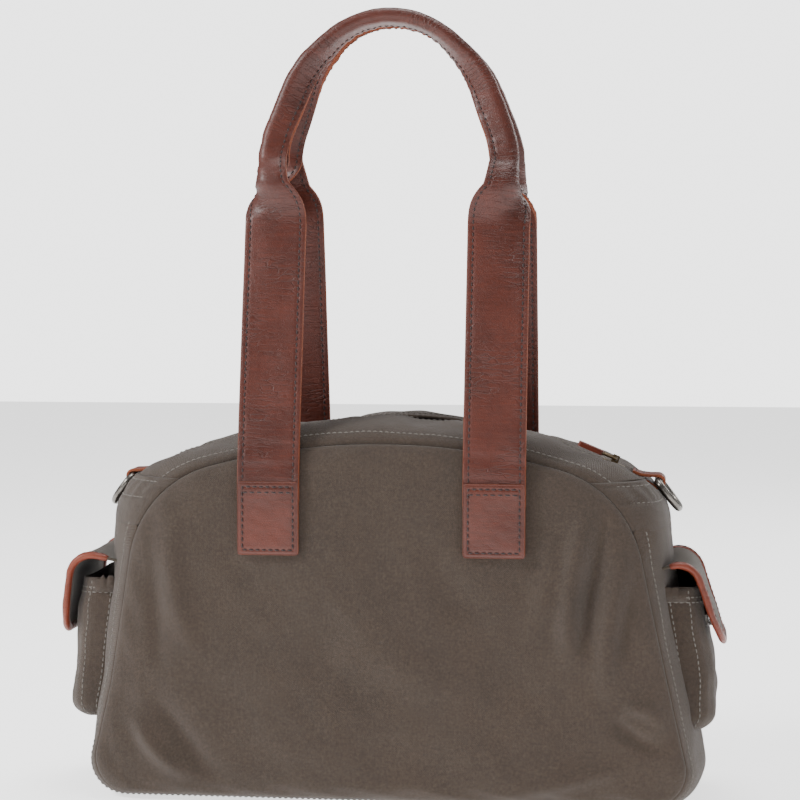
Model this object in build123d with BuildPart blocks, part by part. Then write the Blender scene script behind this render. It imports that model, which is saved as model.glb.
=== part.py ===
from build123d import *
import os
from math import asin, atan2, cos, degrees, radians, sin, sqrt

# Satchel bag, in millimetres. +Z is up and the front panel faces -Y.
# The origin is on the floor, under the middle of the bag.

os.makedirs("parts", exist_ok=True)

# ---- Bag body -------------------------------------------------------------
seam_half_depth = 58.0  # the panel seams lie in the planes y = -58 and y = +58
panel_crown = 6.0  # how far each panel's face stands out from its seam
panel_round = 14.0  # width of the rounded border between the seam and the face
foot_half = 183.0  # half of the panel's width at the foot
foot_rise = 4.0  # height of the panel seam above the floor
crest_height = 226.0  # top of the panel seam
crown_share = 408.0 / 183.0  # the seam's top is an arc of this many foot_half
shoulder_radius = 70.0
foot_corner_radius = 24.0
side_lean = 0.155  # how much the panel's sides lean in, for each unit of height
canvas = 2.4  # canvas with its backing
lining_wall = 0.8
lining_mouth_drop = 58.0  # from the panel seam's top down to the lining's ends
layer_gap = 0.4  # between one layer of cloth and the next

# ---- Gusset: the band between the two panels --------------------------------
gusset_bulge = 11.0  # how far its middle stands out beyond the panel seam
gusset_lean = 0.095
puff_half_depth = 34.0  # where the band stands proudest
puff_bulge = 8.5
puff_crest_rise = 17.0  # how far the band's top stands above the panel seam's
puff_crown_share = 390.0 / 183.0
gusset_shoulder_radius = 50.0
gusset_corner_radius = 28.0

# ---- Zip ----------------------------------------------------------------------
zip_crest_rise = 14.0  # how far the zip section's face stands above the panel seam's top
zip_share = 367.0 / 183.0  # the zip runs along an arc of this many foot_half
zip_end_inset = 37.0  # from foot_half in to each end of the zip
tape_tail = 8.0  # the tapes run on a little under the end patches
zip_slot_half = 8.0  # half of the slot between the two top bands
tape_wall = 0.7
tape_half_width = 15.0
tape_edge = 1.6  # from the zip's middle to each tape's edge
tooth_length = 1.7  # along the zip
tooth_pitch = 4.0
tooth_height = 2.4
tooth_reach = 3.4  # across the zip, from the tape's edge
tooth_mesh = 1.2  # how far each tooth passes the zip's middle
slider_length = 15.0
slider_width = 10.5
slider_plate = 1.2
slider_clearance = 0.35
slider_rest_inset = 6.0  # from the zip's right end to the slider's middle
slider_far_inset = 30.0  # the same at the left end, where the pull needs room
stop_length = 3.0
pull_link_length = 11.0
pull_wire_radius = 0.9
pull_tab_length = 17.0
pull_tab_width = 8.0
pull_tab_thickness = 3.0
pull_lift = 2.6  # height of the pull's pin above the slider's top plate

# ---- End patches, ring loops and rings ------------------------------------------
patch_low_drop = 50.0  # from the panel seam's top down to the patch's lower edge
patch_high_drop = 23.0
loop_width = 19.0
loop_leather = 2.0
loop_tail = 12.0  # the stretch of the loop that is sewn down
loop_rise = 5.0  # how far that stretch climbs towards the zip
ring_wire_radius = 2.4
ring_width = 36.0
ring_depth = 26.0
ring_bar_drop = 26.0  # from the panel seam's top down to the bar
ring_bar_inset = 14.0  # from foot_half in to the bar's centre line
ring_hang = 52.0  # degrees below level, along the gusset
ring_bar_clearance = 0.3

# ---- End pockets ---------------------------------------------------------------
pocket_low = 49.0
pocket_high = 138.0
pocket_half_width = 43.0
pocket_stand = 22.0  # from foot_half out to the pocket's outer face
pocket_wall = 2.0
pocket_corner_radius = 12.0
flap_height = 152.0  # top of the flap
flap_low = 101.0
flap_wall = 2.0
flap_gap = 4.6  # between the flap and the pocket's outer face
flap_overhang = 2.5  # how much wider the flap is than the pocket, each side
flap_corner_radius = 22.0
flap_bend_radius = 9.0
binding_width = 5.0
binding_wall = 1.0
snap_radius = 7.0
snap_height = 115.0
snap_clearance = 0.5
flap_face_slack = 0.1

# ---- Handles --------------------------------------------------------------------
strap_offset = 70.0  # from the bag's middle to each strap's centre line
strap_width = 38.0
strap_ply = 2.0
strap_edge_round = 1.9
anchor_pad = 1.5  # leather backing under each sewn-down strap end
anchor_low_drop = 68.5  # from the panel seam's top down to the strap's end
anchor_high_drop = 23.0
strap_flat = 168.0  # the flat run, from the stitch line up
strap_gap = 1.2  # between the anchor and the strap that folds over it
roll_start = 205.0  # where the strap has closed into a round grip
grip_radius = 7.0
grip_core_radius = 4.5
grip_core_clearance = 0.1
grip_side_half = 73.0  # the corners of the grip's centre line, above the stitch line
grip_side_height = 215.0
grip_side_radius = 45.0
grip_shoulder_half = 54.0
grip_shoulder_height = 262.0
grip_shoulder_radius = 60.0
grip_peak_height = 317.0
grip_peak_radius = 40.0
grip_meeting_gap = 0.6  # half of the gap between the two grips where they lean together

# ---- Base board -----------------------------------------------------------------
board_wall = 2.5
board_margin = 22.0  # from the panel's foot to the board's end
board_side_margin = 12.0
board_corner_radius = 10.0
board_rise = 2.5  # the cloth curves up under the board's long edges

# ---- Sizes worked out from the ones above --------------------------------------
face_half_depth = seam_half_depth + panel_crown
crown_radius = crown_share * foot_half
puff_crown_radius = puff_crown_share * foot_half
puff_crest = crest_height + puff_crest_rise
zip_crest = crest_height + zip_crest_rise
zip_radius = zip_share * foot_half
zip_half_span = foot_half - zip_end_inset
tape_half_span = zip_half_span + tape_tail
patch_low = crest_height - patch_low_drop
patch_high = crest_height - patch_high_drop
ring_bar_height = crest_height - ring_bar_drop
ring_bar_reach = foot_half - ring_bar_inset
pocket_reach = foot_half + pocket_stand
anchor_low = crest_height - anchor_low_drop
anchor_high = crest_height - anchor_high_drop
lining_mouth = crest_height - lining_mouth_drop
inner_clear = 0.5  # added round the bag where another piece seats on its curved face
zip_centre_z = zip_crest - zip_radius
tooth_radius = zip_radius - canvas - layer_gap - tape_wall / 2


def dome_outline(y, half, low, lean, crest, crown, shoulder, corner):
    """Closed dome outline standing in the plane at this y."""
    # The side line x = half - lean * (z - low) meets the crown's circle at the eave.
    centre = crest - crown
    a = 1 + lean**2
    b = -2 * lean * (half + lean * low) - 2 * centre
    c = (half + lean * low) ** 2 + centre**2 - crown**2
    eave_z = (-b + sqrt(b**2 - 4 * a * c)) / (2 * a)
    eave_x = half - lean * (eave_z - low)
    with BuildSketch(Plane.XZ.offset(-y)) as outline:
        with BuildLine():
            Line((-half, low), (half, low))
            Line((half, low), (eave_x, eave_z))
            ThreePointArc((eave_x, eave_z), (0, crest), (-eave_x, eave_z))
            Line((-eave_x, eave_z), (-half, low))
        make_face()
        fillet(outline.vertices().group_by(Axis.Y)[0], corner)
        fillet(outline.vertices().group_by(Axis.Y)[-1], shoulder)
    return outline.sketch


def bag_solid(inset):
    """The whole bag as one solid, with its face set in by this much."""
    rounds = panel_round + inset
    face = dome_outline(
        face_half_depth - inset,
        foot_half - rounds,
        foot_rise + rounds,
        side_lean,
        crest_height - rounds,
        crown_radius - rounds,
        shoulder_radius - inset,
        foot_corner_radius - inset / 2,
    )
    seam = dome_outline(
        seam_half_depth - inset / 2,
        foot_half - inset,
        foot_rise + inset,
        side_lean,
        crest_height - inset,
        crown_radius - inset,
        shoulder_radius - inset,
        foot_corner_radius - inset / 2,
    )
    puff = dome_outline(
        puff_half_depth,
        foot_half + puff_bulge - inset,
        inset - layer_gap,
        (side_lean + gusset_lean) / 2,
        puff_crest - inset,
        puff_crown_radius - inset,
        gusset_shoulder_radius - inset,
        gusset_corner_radius - inset / 2,
    )
    middle = dome_outline(
        0,
        foot_half + gusset_bulge - inset,
        inset - layer_gap,
        gusset_lean,
        zip_crest - inset,
        zip_radius - inset,
        gusset_shoulder_radius - inset,
        gusset_corner_radius - inset / 2,
    )
    faces = [face, seam, puff]
    ahead = [mirror(part, about=Plane.XZ) for part in faces]
    with BuildPart() as bag:
        loft(sections=[*[s.face() for s in ahead], middle.face(), *[s.face() for s in reversed(faces)]])
    return bag.part




def save(part, name):
    """Label one finished piece and write its STEP file."""
    part.label = name
    export_step(part, f"parts/{name}.step")


def zip_frame(angle, radius=tooth_radius):
    """Plane on the zip's arc: x along the arc, y across the bag, z outwards."""
    turn = radians(angle)
    return Plane(
        origin=(radius * sin(turn), 0, zip_centre_z + radius * cos(turn)),
        x_dir=(cos(turn), 0, -sin(turn)),
        z_dir=(sin(turn), 0, cos(turn)),
    )


def zip_angle(reach):
    """Angle along the zip's arc at this distance from the bag's middle."""
    return degrees(asin(reach / tooth_radius))


def strip(low, high):
    """Box that holds everything of the bag between these two planes across Y."""
    return Pos(0, (low + high) / 2, 0) * Box(reach_all, high - low, reach_all, mode=Mode.PRIVATE)


def slab(low, high):
    """Box that holds everything of the bag between these two heights."""
    return Pos(0, 0, (low + high) / 2) * Box(reach_all, reach_all, high - low, mode=Mode.PRIVATE)


reach_all = 4 * foot_half  # larger than the bag in every direction
seat_tool = bag_solid(-inner_clear)

# ---- Cloth shell: panels, gusset, end patches and top bands --------------------
with BuildPart() as shell:
    add(bag_solid(0))
    add(bag_solid(canvas), mode=Mode.SUBTRACT)
    add(slab(-reach_all, 0), mode=Mode.SUBTRACT)

with BuildPart() as front_panel:
    add(shell.part)
    add(strip(-seam_half_depth, reach_all), mode=Mode.SUBTRACT)
save(front_panel.part, "front_panel")

with BuildPart() as back_panel:
    add(shell.part)
    add(strip(-reach_all, seam_half_depth), mode=Mode.SUBTRACT)
save(back_panel.part, "back_panel")

with BuildPart() as side_gusset:
    add(shell.part)
    add(strip(-seam_half_depth, seam_half_depth), mode=Mode.INTERSECT)
    add(slab(patch_low, reach_all), mode=Mode.SUBTRACT)
save(side_gusset.part, "side_gusset")

for side, name in ((-1, "left_end_patch"), (1, "right_end_patch")):
    with BuildPart() as end_patch:
        add(shell.part)
        add(strip(-seam_half_depth, seam_half_depth), mode=Mode.INTERSECT)
        add(slab(patch_low, patch_high), mode=Mode.INTERSECT)
        split(bisect_by=Plane.YZ, keep=Keep.TOP if side > 0 else Keep.BOTTOM)
    save(end_patch.part, name)

for side, name in ((-1, "front_top_band"), (1, "back_top_band")):
    edges = sorted((side * zip_slot_half, side * seam_half_depth))
    with BuildPart() as top_band:
        add(shell.part)
        add(strip(*edges), mode=Mode.INTERSECT)
        add(slab(-reach_all, patch_high), mode=Mode.SUBTRACT)
    save(top_band.part, name)

# ---- Lining and base board ------------------------------------------------------
lining_inset = canvas + layer_gap
with BuildPart() as lining:
    add(bag_solid(lining_inset))
    add(bag_solid(lining_inset + lining_wall), mode=Mode.SUBTRACT)
    with Locations((0, 0, lining_mouth)):
        Box(
            reach_all,
            2 * (seam_half_depth - lining_inset - lining_wall),
            reach_all,
            align=(Align.CENTER, Align.CENTER, Align.MIN),
            mode=Mode.SUBTRACT,
        )
save(lining.part, "lining")

board_low = lining_inset + lining_wall + board_rise
with BuildPart() as base_board:
    with BuildSketch(Plane.XY.offset(board_low)):
        RectangleRounded(
            2 * (foot_half - board_margin),
            2 * (seam_half_depth - board_side_margin),
            board_corner_radius,
        )
    extrude(amount=board_wall)
save(base_board.part, "base_board")

# ---- Zip tapes and teeth ----------------------------------------------------------
tape_half_angle = zip_angle(tape_half_span)
slider_angle = zip_angle(zip_half_span - slider_rest_inset)
slider_far_angle = -zip_angle(zip_half_span - slider_far_inset)
tooth_step = degrees(tooth_pitch / tooth_radius)
tooth_first = -zip_angle(zip_half_span - stop_length)
tooth_count = int((slider_angle - tooth_first) / tooth_step)


def arc_point(radius, angle):
    """Point of the zip's arc in the XZ plane."""
    return (radius * sin(radians(angle)), zip_centre_z + radius * cos(radians(angle)))


for side, name in ((-1, "front_zip_tape"), (1, "back_zip_tape")):
    outer = tooth_radius + tape_wall / 2
    inner = tooth_radius - tape_wall / 2
    with BuildPart() as zip_tape:
        with BuildSketch(Plane.XZ.offset(-side * tape_edge)):
            with BuildLine():
                ThreePointArc(*[arc_point(outer, a) for a in (-tape_half_angle, 0, tape_half_angle)])
                ThreePointArc(*[arc_point(inner, a) for a in (-tape_half_angle, 0, tape_half_angle)])
                Line(arc_point(outer, -tape_half_angle), arc_point(inner, -tape_half_angle))
                Line(arc_point(outer, tape_half_angle), arc_point(inner, tape_half_angle))
            make_face()
        extrude(amount=-side * (tape_half_width - tape_edge))
    save(zip_tape.part, name)

# Each tooth is clamped over its tape's edge and passes between two of the other row.
for side, name in ((-1, "front_zip_teeth"), (1, "back_zip_teeth")):
    first = tooth_first + (tooth_step / 2 if side > 0 else 0)
    frames = [zip_frame(first + n * tooth_step).location for n in range(tooth_count)]
    across = tooth_reach + tooth_mesh
    middle = side * (tooth_reach - tooth_mesh) / 2
    slot_depth = tooth_reach - tape_edge
    slot_middle = side * (tooth_reach + tape_edge) / 2
    with BuildPart() as zip_teeth:
        with Locations(*[f * Pos(0, middle, 0) for f in frames]):
            Box(tooth_length, across, tooth_height)
        with Locations(*[f * Pos(0, slot_middle, 0) for f in frames]):
            Box(tooth_length, slot_depth, tape_wall, mode=Mode.SUBTRACT)
    save(zip_teeth.part, name)

# ---- Zip stops --------------------------------------------------------------------
stop_height = (tooth_height - tape_wall) / 2
stop_lift = tape_wall / 2 + stop_height / 2
stop_first = zip_frame(-zip_angle(zip_half_span)).location
stop_last = zip_frame(slider_angle + degrees((slider_length / 2 + stop_length) / tooth_radius)).location
with BuildPart() as zip_stops:
    with Locations(stop_first * Pos(0, 0, stop_lift)):
        Box(stop_length, 2 * tooth_reach, stop_height)
    with Locations(*[stop_last * Pos(0, y, stop_lift) for y in (-tooth_reach, tooth_reach)]):
        Box(stop_length, tooth_reach, stop_height)
save(zip_stops.part, "zip_stops")

# ---- Zip slider, pull link and pull tab --------------------------------------------
slider_frame = zip_frame(slider_angle)
plate_lift = tooth_height / 2 + slider_clearance
slider_top = plate_lift + slider_plate
bridge_wall = 1.0
pin_space = pull_wire_radius + slider_clearance
bridge_length = 2 * (pin_space + bridge_wall)
bridge_width = 3.0
wedge_length = 2.6
wedge_width = 2 * (tape_edge - slider_clearance)
with BuildPart() as zip_slider:
    for low in (plate_lift, -slider_top):
        with BuildSketch(slider_frame.offset(low)):
            RectangleRounded(slider_length, slider_width, slider_width / 4)
        extrude(amount=slider_plate)
    with BuildSketch(slider_frame.offset(-plate_lift)):
        with Locations(((slider_length - wedge_length) / 2 - bridge_wall, 0)):
            Rectangle(wedge_length, wedge_width)
    extrude(amount=2 * plate_lift)
    with BuildSketch(slider_frame.offset(slider_top)):
        Rectangle(bridge_length, bridge_width)
    extrude(amount=pull_lift + pin_space + bridge_wall)
    with Locations(slider_frame.location * Pos(0, 0, slider_top + pull_lift) * Rot(90, 0, 0)):
        Cylinder(pin_space, 2 * bridge_width, mode=Mode.SUBTRACT)
save(zip_slider.part, "zip_slider")

# The pull lies up the zip, over its closed teeth.
pull_frame = slider_frame.offset(slider_top + pull_lift)
link_half_width = bridge_width / 2 + slider_clearance + pull_wire_radius
with BuildPart() as zip_pull_link:
    with BuildLine(pull_frame) as link_path:
        FilletPolyline(
            (0, -link_half_width),
            (0, link_half_width),
            (-pull_link_length, link_half_width),
            (-pull_link_length, -link_half_width),
            radius=pull_wire_radius * 1.2,
            close=True,
        )
    with BuildSketch(Plane(origin=link_path.line @ 0.5, z_dir=link_path.line % 0.5)):
        Circle(pull_wire_radius)
    sweep(path=link_path.line)
save(zip_pull_link.part, "zip_pull_link")

tab_overlap = pull_wire_radius + 1.5
with BuildPart() as zip_pull_tab:
    with BuildSketch(pull_frame.offset(-pull_tab_thickness / 2)):
        with Locations((-pull_link_length - pull_tab_length / 2 + tab_overlap, 0)):
            RectangleRounded(pull_tab_length, pull_tab_width, pull_tab_width / 4)
    extrude(amount=pull_tab_thickness)
    add(zip_pull_link.part, mode=Mode.SUBTRACT)
save(zip_pull_tab.part, "zip_pull_tab")

# ---- Ring loops and D-rings, one at each end ---------------------------------------
ring_inner_corner = 5.0
ring_outer_corner = 14.0
loop_bore = ring_wire_radius + ring_bar_clearance
loop_outer = loop_bore + loop_leather
ring_half = ring_width / 2 - ring_wire_radius
for side, name in ((-1, "left"), (1, "right")):
    drop = radians(ring_hang)
    bar = Vector(side * ring_bar_reach, 0, ring_bar_height)
    ring_plane = Plane(
        origin=bar,
        x_dir=(0, 1, 0),
        z_dir=Vector(0, 1, 0).cross(Vector(side * cos(drop), 0, -sin(drop))),
    )
    with BuildPart() as ring_loop:
        with BuildSketch(Plane.XZ.offset(-loop_width / 2)):
            with Locations((bar.X, bar.Z)):
                Circle(loop_outer)
            with BuildLine():
                Polyline(
                    (bar.X, bar.Z + loop_outer),
                    (bar.X - side * loop_tail, bar.Z + loop_outer + loop_rise),
                    (bar.X - side * loop_tail, bar.Z),
                    (bar.X, bar.Z),
                    close=True,
                )
            make_face()
            with Locations((bar.X, bar.Z)):
                Circle(loop_bore, mode=Mode.SUBTRACT)
        extrude(amount=loop_width)
        add(seat_tool, mode=Mode.SUBTRACT)
    save(ring_loop.part, f"{name}_ring_loop")

    with BuildPart() as d_ring:
        with BuildLine(ring_plane) as ring_path:
            FilletPolyline(
                (-ring_half, 0),
                (ring_half, 0),
                (ring_half, ring_depth - 2 * ring_wire_radius),
                (-ring_half, ring_depth - 2 * ring_wire_radius),
                radius=(ring_inner_corner, ring_inner_corner, ring_outer_corner, ring_outer_corner),
                close=True,
            )
        with BuildSketch(Plane(origin=ring_path.line @ 0.5, z_dir=ring_path.line % 0.5)):
            Circle(ring_wire_radius)
        sweep(path=ring_path.line)
    save(d_ring.part, f"{name}_d_ring")

# ---- End pockets -------------------------------------------------------------------
pocket_inside = foot_half - side_lean * pocket_high - gusset_bulge  # well inside the bag's cloth


def pocket_face(height, out=0.0):
    """Distance from the bag's middle to the pocket's outer face at this height."""
    return pocket_reach - gusset_lean * (height - pocket_low) + out


def pocket_block(inset, high):
    """Solid pocket with its outer faces set in by this much."""
    low = pocket_low + inset
    with BuildPart() as block:
        with BuildSketch(Plane.XZ.offset(-(pocket_half_width - inset))):
            with BuildLine():
                Polyline(
                    (pocket_inside, low),
                    (pocket_face(low, -inset), low),
                    (pocket_face(high, -inset), high),
                    (pocket_inside, high),
                    close=True,
                )
            make_face()
        extrude(amount=2 * (pocket_half_width - inset))
        outer_edges = block.faces().sort_by(Axis.X)[-1].edges()
        fillet(outer_edges.sort_by(Axis.Z)[:-1], pocket_corner_radius - inset)
    return block.part


def flap_block(grow, trim):
    """Solid flap: its faces stand out by grow, and its edges are cut back by trim."""
    outer = flap_gap + flap_wall + grow
    inner = flap_gap - grow
    top = flap_height + grow
    under = flap_height - flap_wall - grow
    low = flap_low + trim
    half = pocket_half_width + flap_overhang - trim
    with BuildPart() as block:
        with BuildSketch(Plane.XZ.offset(-half)) as profile:
            with BuildLine():
                Polyline(
                    (pocket_inside, top),
                    (pocket_face(top, outer), top),
                    (pocket_face(low, outer), low),
                    (pocket_face(low, inner), low),
                    (pocket_face(under, inner), under),
                    (pocket_inside, under),
                    close=True,
                )
            make_face()
            corners = profile.vertices()
            outside = corners.group_by(Axis.Y)[-1].sort_by(Axis.X)[-1]
            fillet(outside, flap_bend_radius + grow)
            inside = profile.vertices().sort_by_distance((pocket_face(under, inner), under))[0]
            fillet(inside, flap_bend_radius - flap_wall - grow)
        extrude(amount=2 * half)
        with BuildSketch(Plane.YZ) as face_on:
            with Locations((0, (low + 2 * flap_height) / 2)):
                Rectangle(2 * half, 2 * flap_height - low)
            fillet(face_on.vertices().group_by(Axis.Y)[0], flap_corner_radius - trim)
        extrude(amount=reach_all, mode=Mode.INTERSECT)
    return block.part


with BuildPart() as pocket:
    add(pocket_block(0, pocket_high))
    add(pocket_block(pocket_wall, pocket_high + flap_height), mode=Mode.SUBTRACT)
    add(seat_tool, mode=Mode.SUBTRACT)

with BuildPart() as flap:
    add(flap_block(0, 0))
    add(seat_tool, mode=Mode.SUBTRACT)

with BuildPart() as binding:
    add(flap_block(binding_wall, -binding_wall))
    add(flap_block(0, 0), mode=Mode.SUBTRACT)
    add(flap_block(2 * binding_wall, binding_width), mode=Mode.SUBTRACT)
    add(seat_tool, mode=Mode.SUBTRACT)

snap_wall = (flap_gap - snap_clearance) / 2
snap_plane = Plane(
    origin=(pocket_face(snap_height), 0, snap_height),
    x_dir=(0, 1, 0),
    z_dir=(1, 0, gusset_lean),
)
with BuildPart() as snap_socket:
    with BuildSketch(snap_plane):
        Circle(snap_radius)
    extrude(amount=snap_wall)
    chamfer(snap_socket.faces().sort_by(Axis.X)[-1].edges(), snap_wall / 4)

with BuildPart() as snap_stud:
    with BuildSketch(snap_plane.offset(flap_gap - snap_wall)):
        Circle(snap_radius)
    extrude(amount=snap_wall - flap_face_slack)
    chamfer(snap_stud.faces().sort_by(Axis.X)[0].edges(), snap_wall / 4)

pocket_pieces = (
    (pocket, "pocket"),
    (flap, "pocket_flap"),
    (binding, "flap_binding"),
    (snap_socket, "snap_socket"),
    (snap_stud, "snap_stud"),
)
for piece, name in pocket_pieces:
    save(piece.part, f"right_{name}")
    save(mirror(piece.part, about=Plane.YZ), f"left_{name}")

# ---- Handles -----------------------------------------------------------------------
anchor_wall = 2 * strap_ply + anchor_pad
hinge_reach = face_half_depth + anchor_wall
peak_angle = atan2(grip_peak_height - grip_shoulder_height, grip_shoulder_half)
apex_height = grip_peak_height - grip_peak_radius * (1 / cos(peak_angle) - 1)
handle_lean = asin((hinge_reach - grip_radius - grip_meeting_gap - strap_ply) / apex_height)
handle_plane = Plane(
    origin=(0, -hinge_reach, anchor_high),
    x_dir=(1, 0, 0),
    z_dir=(0, -cos(handle_lean), sin(handle_lean)),
)
grip_plane = handle_plane.offset(-strap_ply)
print(f"handle lean {degrees(handle_lean):.2f}, slider {slider_angle:.2f} to {slider_far_angle:.2f} degrees")
print(f"hinge reach {hinge_reach:.2f}, zip centre {zip_centre_z:.2f}, tooth radius {tooth_radius:.2f}")


def grip_sweep(radius):
    """Round bar of this radius along the grip's centre line."""
    with BuildPart() as bar:
        with BuildLine(grip_plane) as path:
            FilletPolyline(
                (-grip_side_half, roll_start),
                (-grip_side_half, grip_side_height),
                (-grip_shoulder_half, grip_shoulder_height),
                (0, grip_peak_height),
                (grip_shoulder_half, grip_shoulder_height),
                (grip_side_half, grip_side_height),
                (grip_side_half, roll_start),
                radius=(
                    grip_side_radius,
                    grip_shoulder_radius,
                    grip_peak_radius,
                    grip_shoulder_radius,
                    grip_side_radius,
                ),
            )
        with BuildSketch(Plane(origin=path.line @ 0, z_dir=path.line % 0)):
            Circle(radius)
        sweep(path=path.line)
    return bar.part


def strap_section(side, along, centre, width, thick, corner):
    """Rounded cross-section of the strap at this distance above the stitch line."""
    place = grip_plane * Plane(origin=(side * centre, along, 0), x_dir=(1, 0, 0), z_dir=(0, 1, 0))
    with BuildSketch(place) as section:
        RectangleRounded(width, thick, corner)
    return section.sketch.face()


with BuildPart() as handle_strap:
    for side in (-1, 1):
        with BuildSketch(handle_plane):
            with Locations((side * strap_offset, (strap_gap + strap_flat) / 2)):
                Rectangle(strap_width, strap_flat - strap_gap)
        extrude(amount=-strap_ply)
        flat_end = strap_section(side, strap_flat, strap_offset, strap_width, 2 * strap_ply, strap_edge_round)
        roll_end = strap_section(
            side, roll_start, grip_side_half, 2 * grip_radius, 2 * grip_radius, grip_radius * 0.97
        )
        loft(sections=[flat_end, roll_end])
    add(grip_sweep(grip_radius))
    add(grip_sweep(grip_core_radius + grip_core_clearance), mode=Mode.SUBTRACT)

with BuildPart() as inner_ply:
    with BuildSketch(handle_plane.offset(-strap_ply)):
        with Locations(*[(side * strap_offset, (strap_gap + strap_flat) / 2) for side in (-1, 1)]):
            Rectangle(strap_width, strap_flat - strap_gap)
    extrude(amount=-strap_ply)

with BuildPart() as grip_core:
    add(grip_sweep(grip_core_radius))

handle_pieces = ((handle_strap, "handle_strap"), (inner_ply, "handle_inner_ply"), (grip_core, "grip_core"))
for piece, name in handle_pieces:
    save(piece.part, f"front_{name}")
    save(mirror(piece.part, about=Plane.XZ), f"back_{name}")

for side, name in ((-1, "left_anchor"), (1, "right_anchor")):
    with BuildPart() as anchor:
        with BuildSketch(Plane.XZ.offset(face_half_depth)):
            with Locations((side * strap_offset, (anchor_low + anchor_high) / 2)):
                Rectangle(strap_width, anchor_high - anchor_low)
        extrude(amount=anchor_wall)
    save(anchor.part, f"front_{name}")
    save(mirror(anchor.part, about=Plane.XZ), f"back_{name}")
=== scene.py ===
"""Looks of a canvas satchel bag with rolled leather handles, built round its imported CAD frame."""

import logging
import math
from dataclasses import dataclass, field
from enum import Enum

import bpy
import numpy as np
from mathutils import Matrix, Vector


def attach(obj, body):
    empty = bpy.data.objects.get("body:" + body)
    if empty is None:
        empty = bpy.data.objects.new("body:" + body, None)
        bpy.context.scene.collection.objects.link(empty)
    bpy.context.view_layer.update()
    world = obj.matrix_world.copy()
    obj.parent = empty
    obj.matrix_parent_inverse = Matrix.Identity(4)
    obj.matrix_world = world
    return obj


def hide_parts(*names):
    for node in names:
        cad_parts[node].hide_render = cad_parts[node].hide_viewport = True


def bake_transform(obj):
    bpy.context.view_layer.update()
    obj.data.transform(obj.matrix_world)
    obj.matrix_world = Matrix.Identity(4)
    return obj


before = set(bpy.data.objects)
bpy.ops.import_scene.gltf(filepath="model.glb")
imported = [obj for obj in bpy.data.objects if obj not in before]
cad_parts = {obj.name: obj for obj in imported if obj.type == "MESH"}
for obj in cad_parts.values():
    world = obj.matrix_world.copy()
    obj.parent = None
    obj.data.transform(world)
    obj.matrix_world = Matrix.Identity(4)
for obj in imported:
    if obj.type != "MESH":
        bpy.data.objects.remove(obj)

log = logging.getLogger("satchel")
MM = 0.001
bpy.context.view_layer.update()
Array = np.ndarray


class Side(Enum):
    """The bag's two ends, by the sign of X."""

    LEFT = -1
    RIGHT = 1

    @property
    def label(self) -> str:
        """The end's name as the pieces carry it."""
        return self.name.lower()


class Face(Enum):
    """The bag's two panels, by the sign of Y."""

    FRONT = -1
    BACK = 1

    @property
    def label(self) -> str:
        """The panel's name as the pieces carry it."""
        return self.name.lower()


# ---- Shader maths ------------------------------------------------------------------


@dataclass
class Val:
    """A shader value that adds Math nodes when it is used in an expression."""

    tree: "Tree"
    socket: object

    def _math(self, kind: str, *values: object) -> "Val":
        """Add one Math node."""
        return self.tree.node("ShaderNodeMath", {"operation": kind}, dict(enumerate(values)))

    def __add__(self, other: object) -> "Val":
        """Sum."""
        return self._math("ADD", self, other)

    def __sub__(self, other: object) -> "Val":
        """Difference."""
        return self._math("SUBTRACT", self, other)

    def __mul__(self, other: object) -> "Val":
        """Product."""
        return self._math("MULTIPLY", self, other)

    def __rsub__(self, other: object) -> "Val":
        """Difference with the value on the right."""
        return self._math("SUBTRACT", other, self)

    __radd__ = __add__
    __rmul__ = __mul__

    def sin(self) -> "Val":
        """Sine."""
        return self._math("SINE", self)

    def abs(self) -> "Val":
        """Absolute value."""
        return self._math("ABSOLUTE", self)

    def above(self, limit: float) -> "Val":
        """1 where the value is above the limit, and 0 elsewhere."""
        return self._math("GREATER_THAN", self, limit)

    def clamp(self) -> "Val":
        """The value held between 0 and 1."""
        return self._math("MAXIMUM", self._math("MINIMUM", self, 1.0), 0.0)


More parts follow.
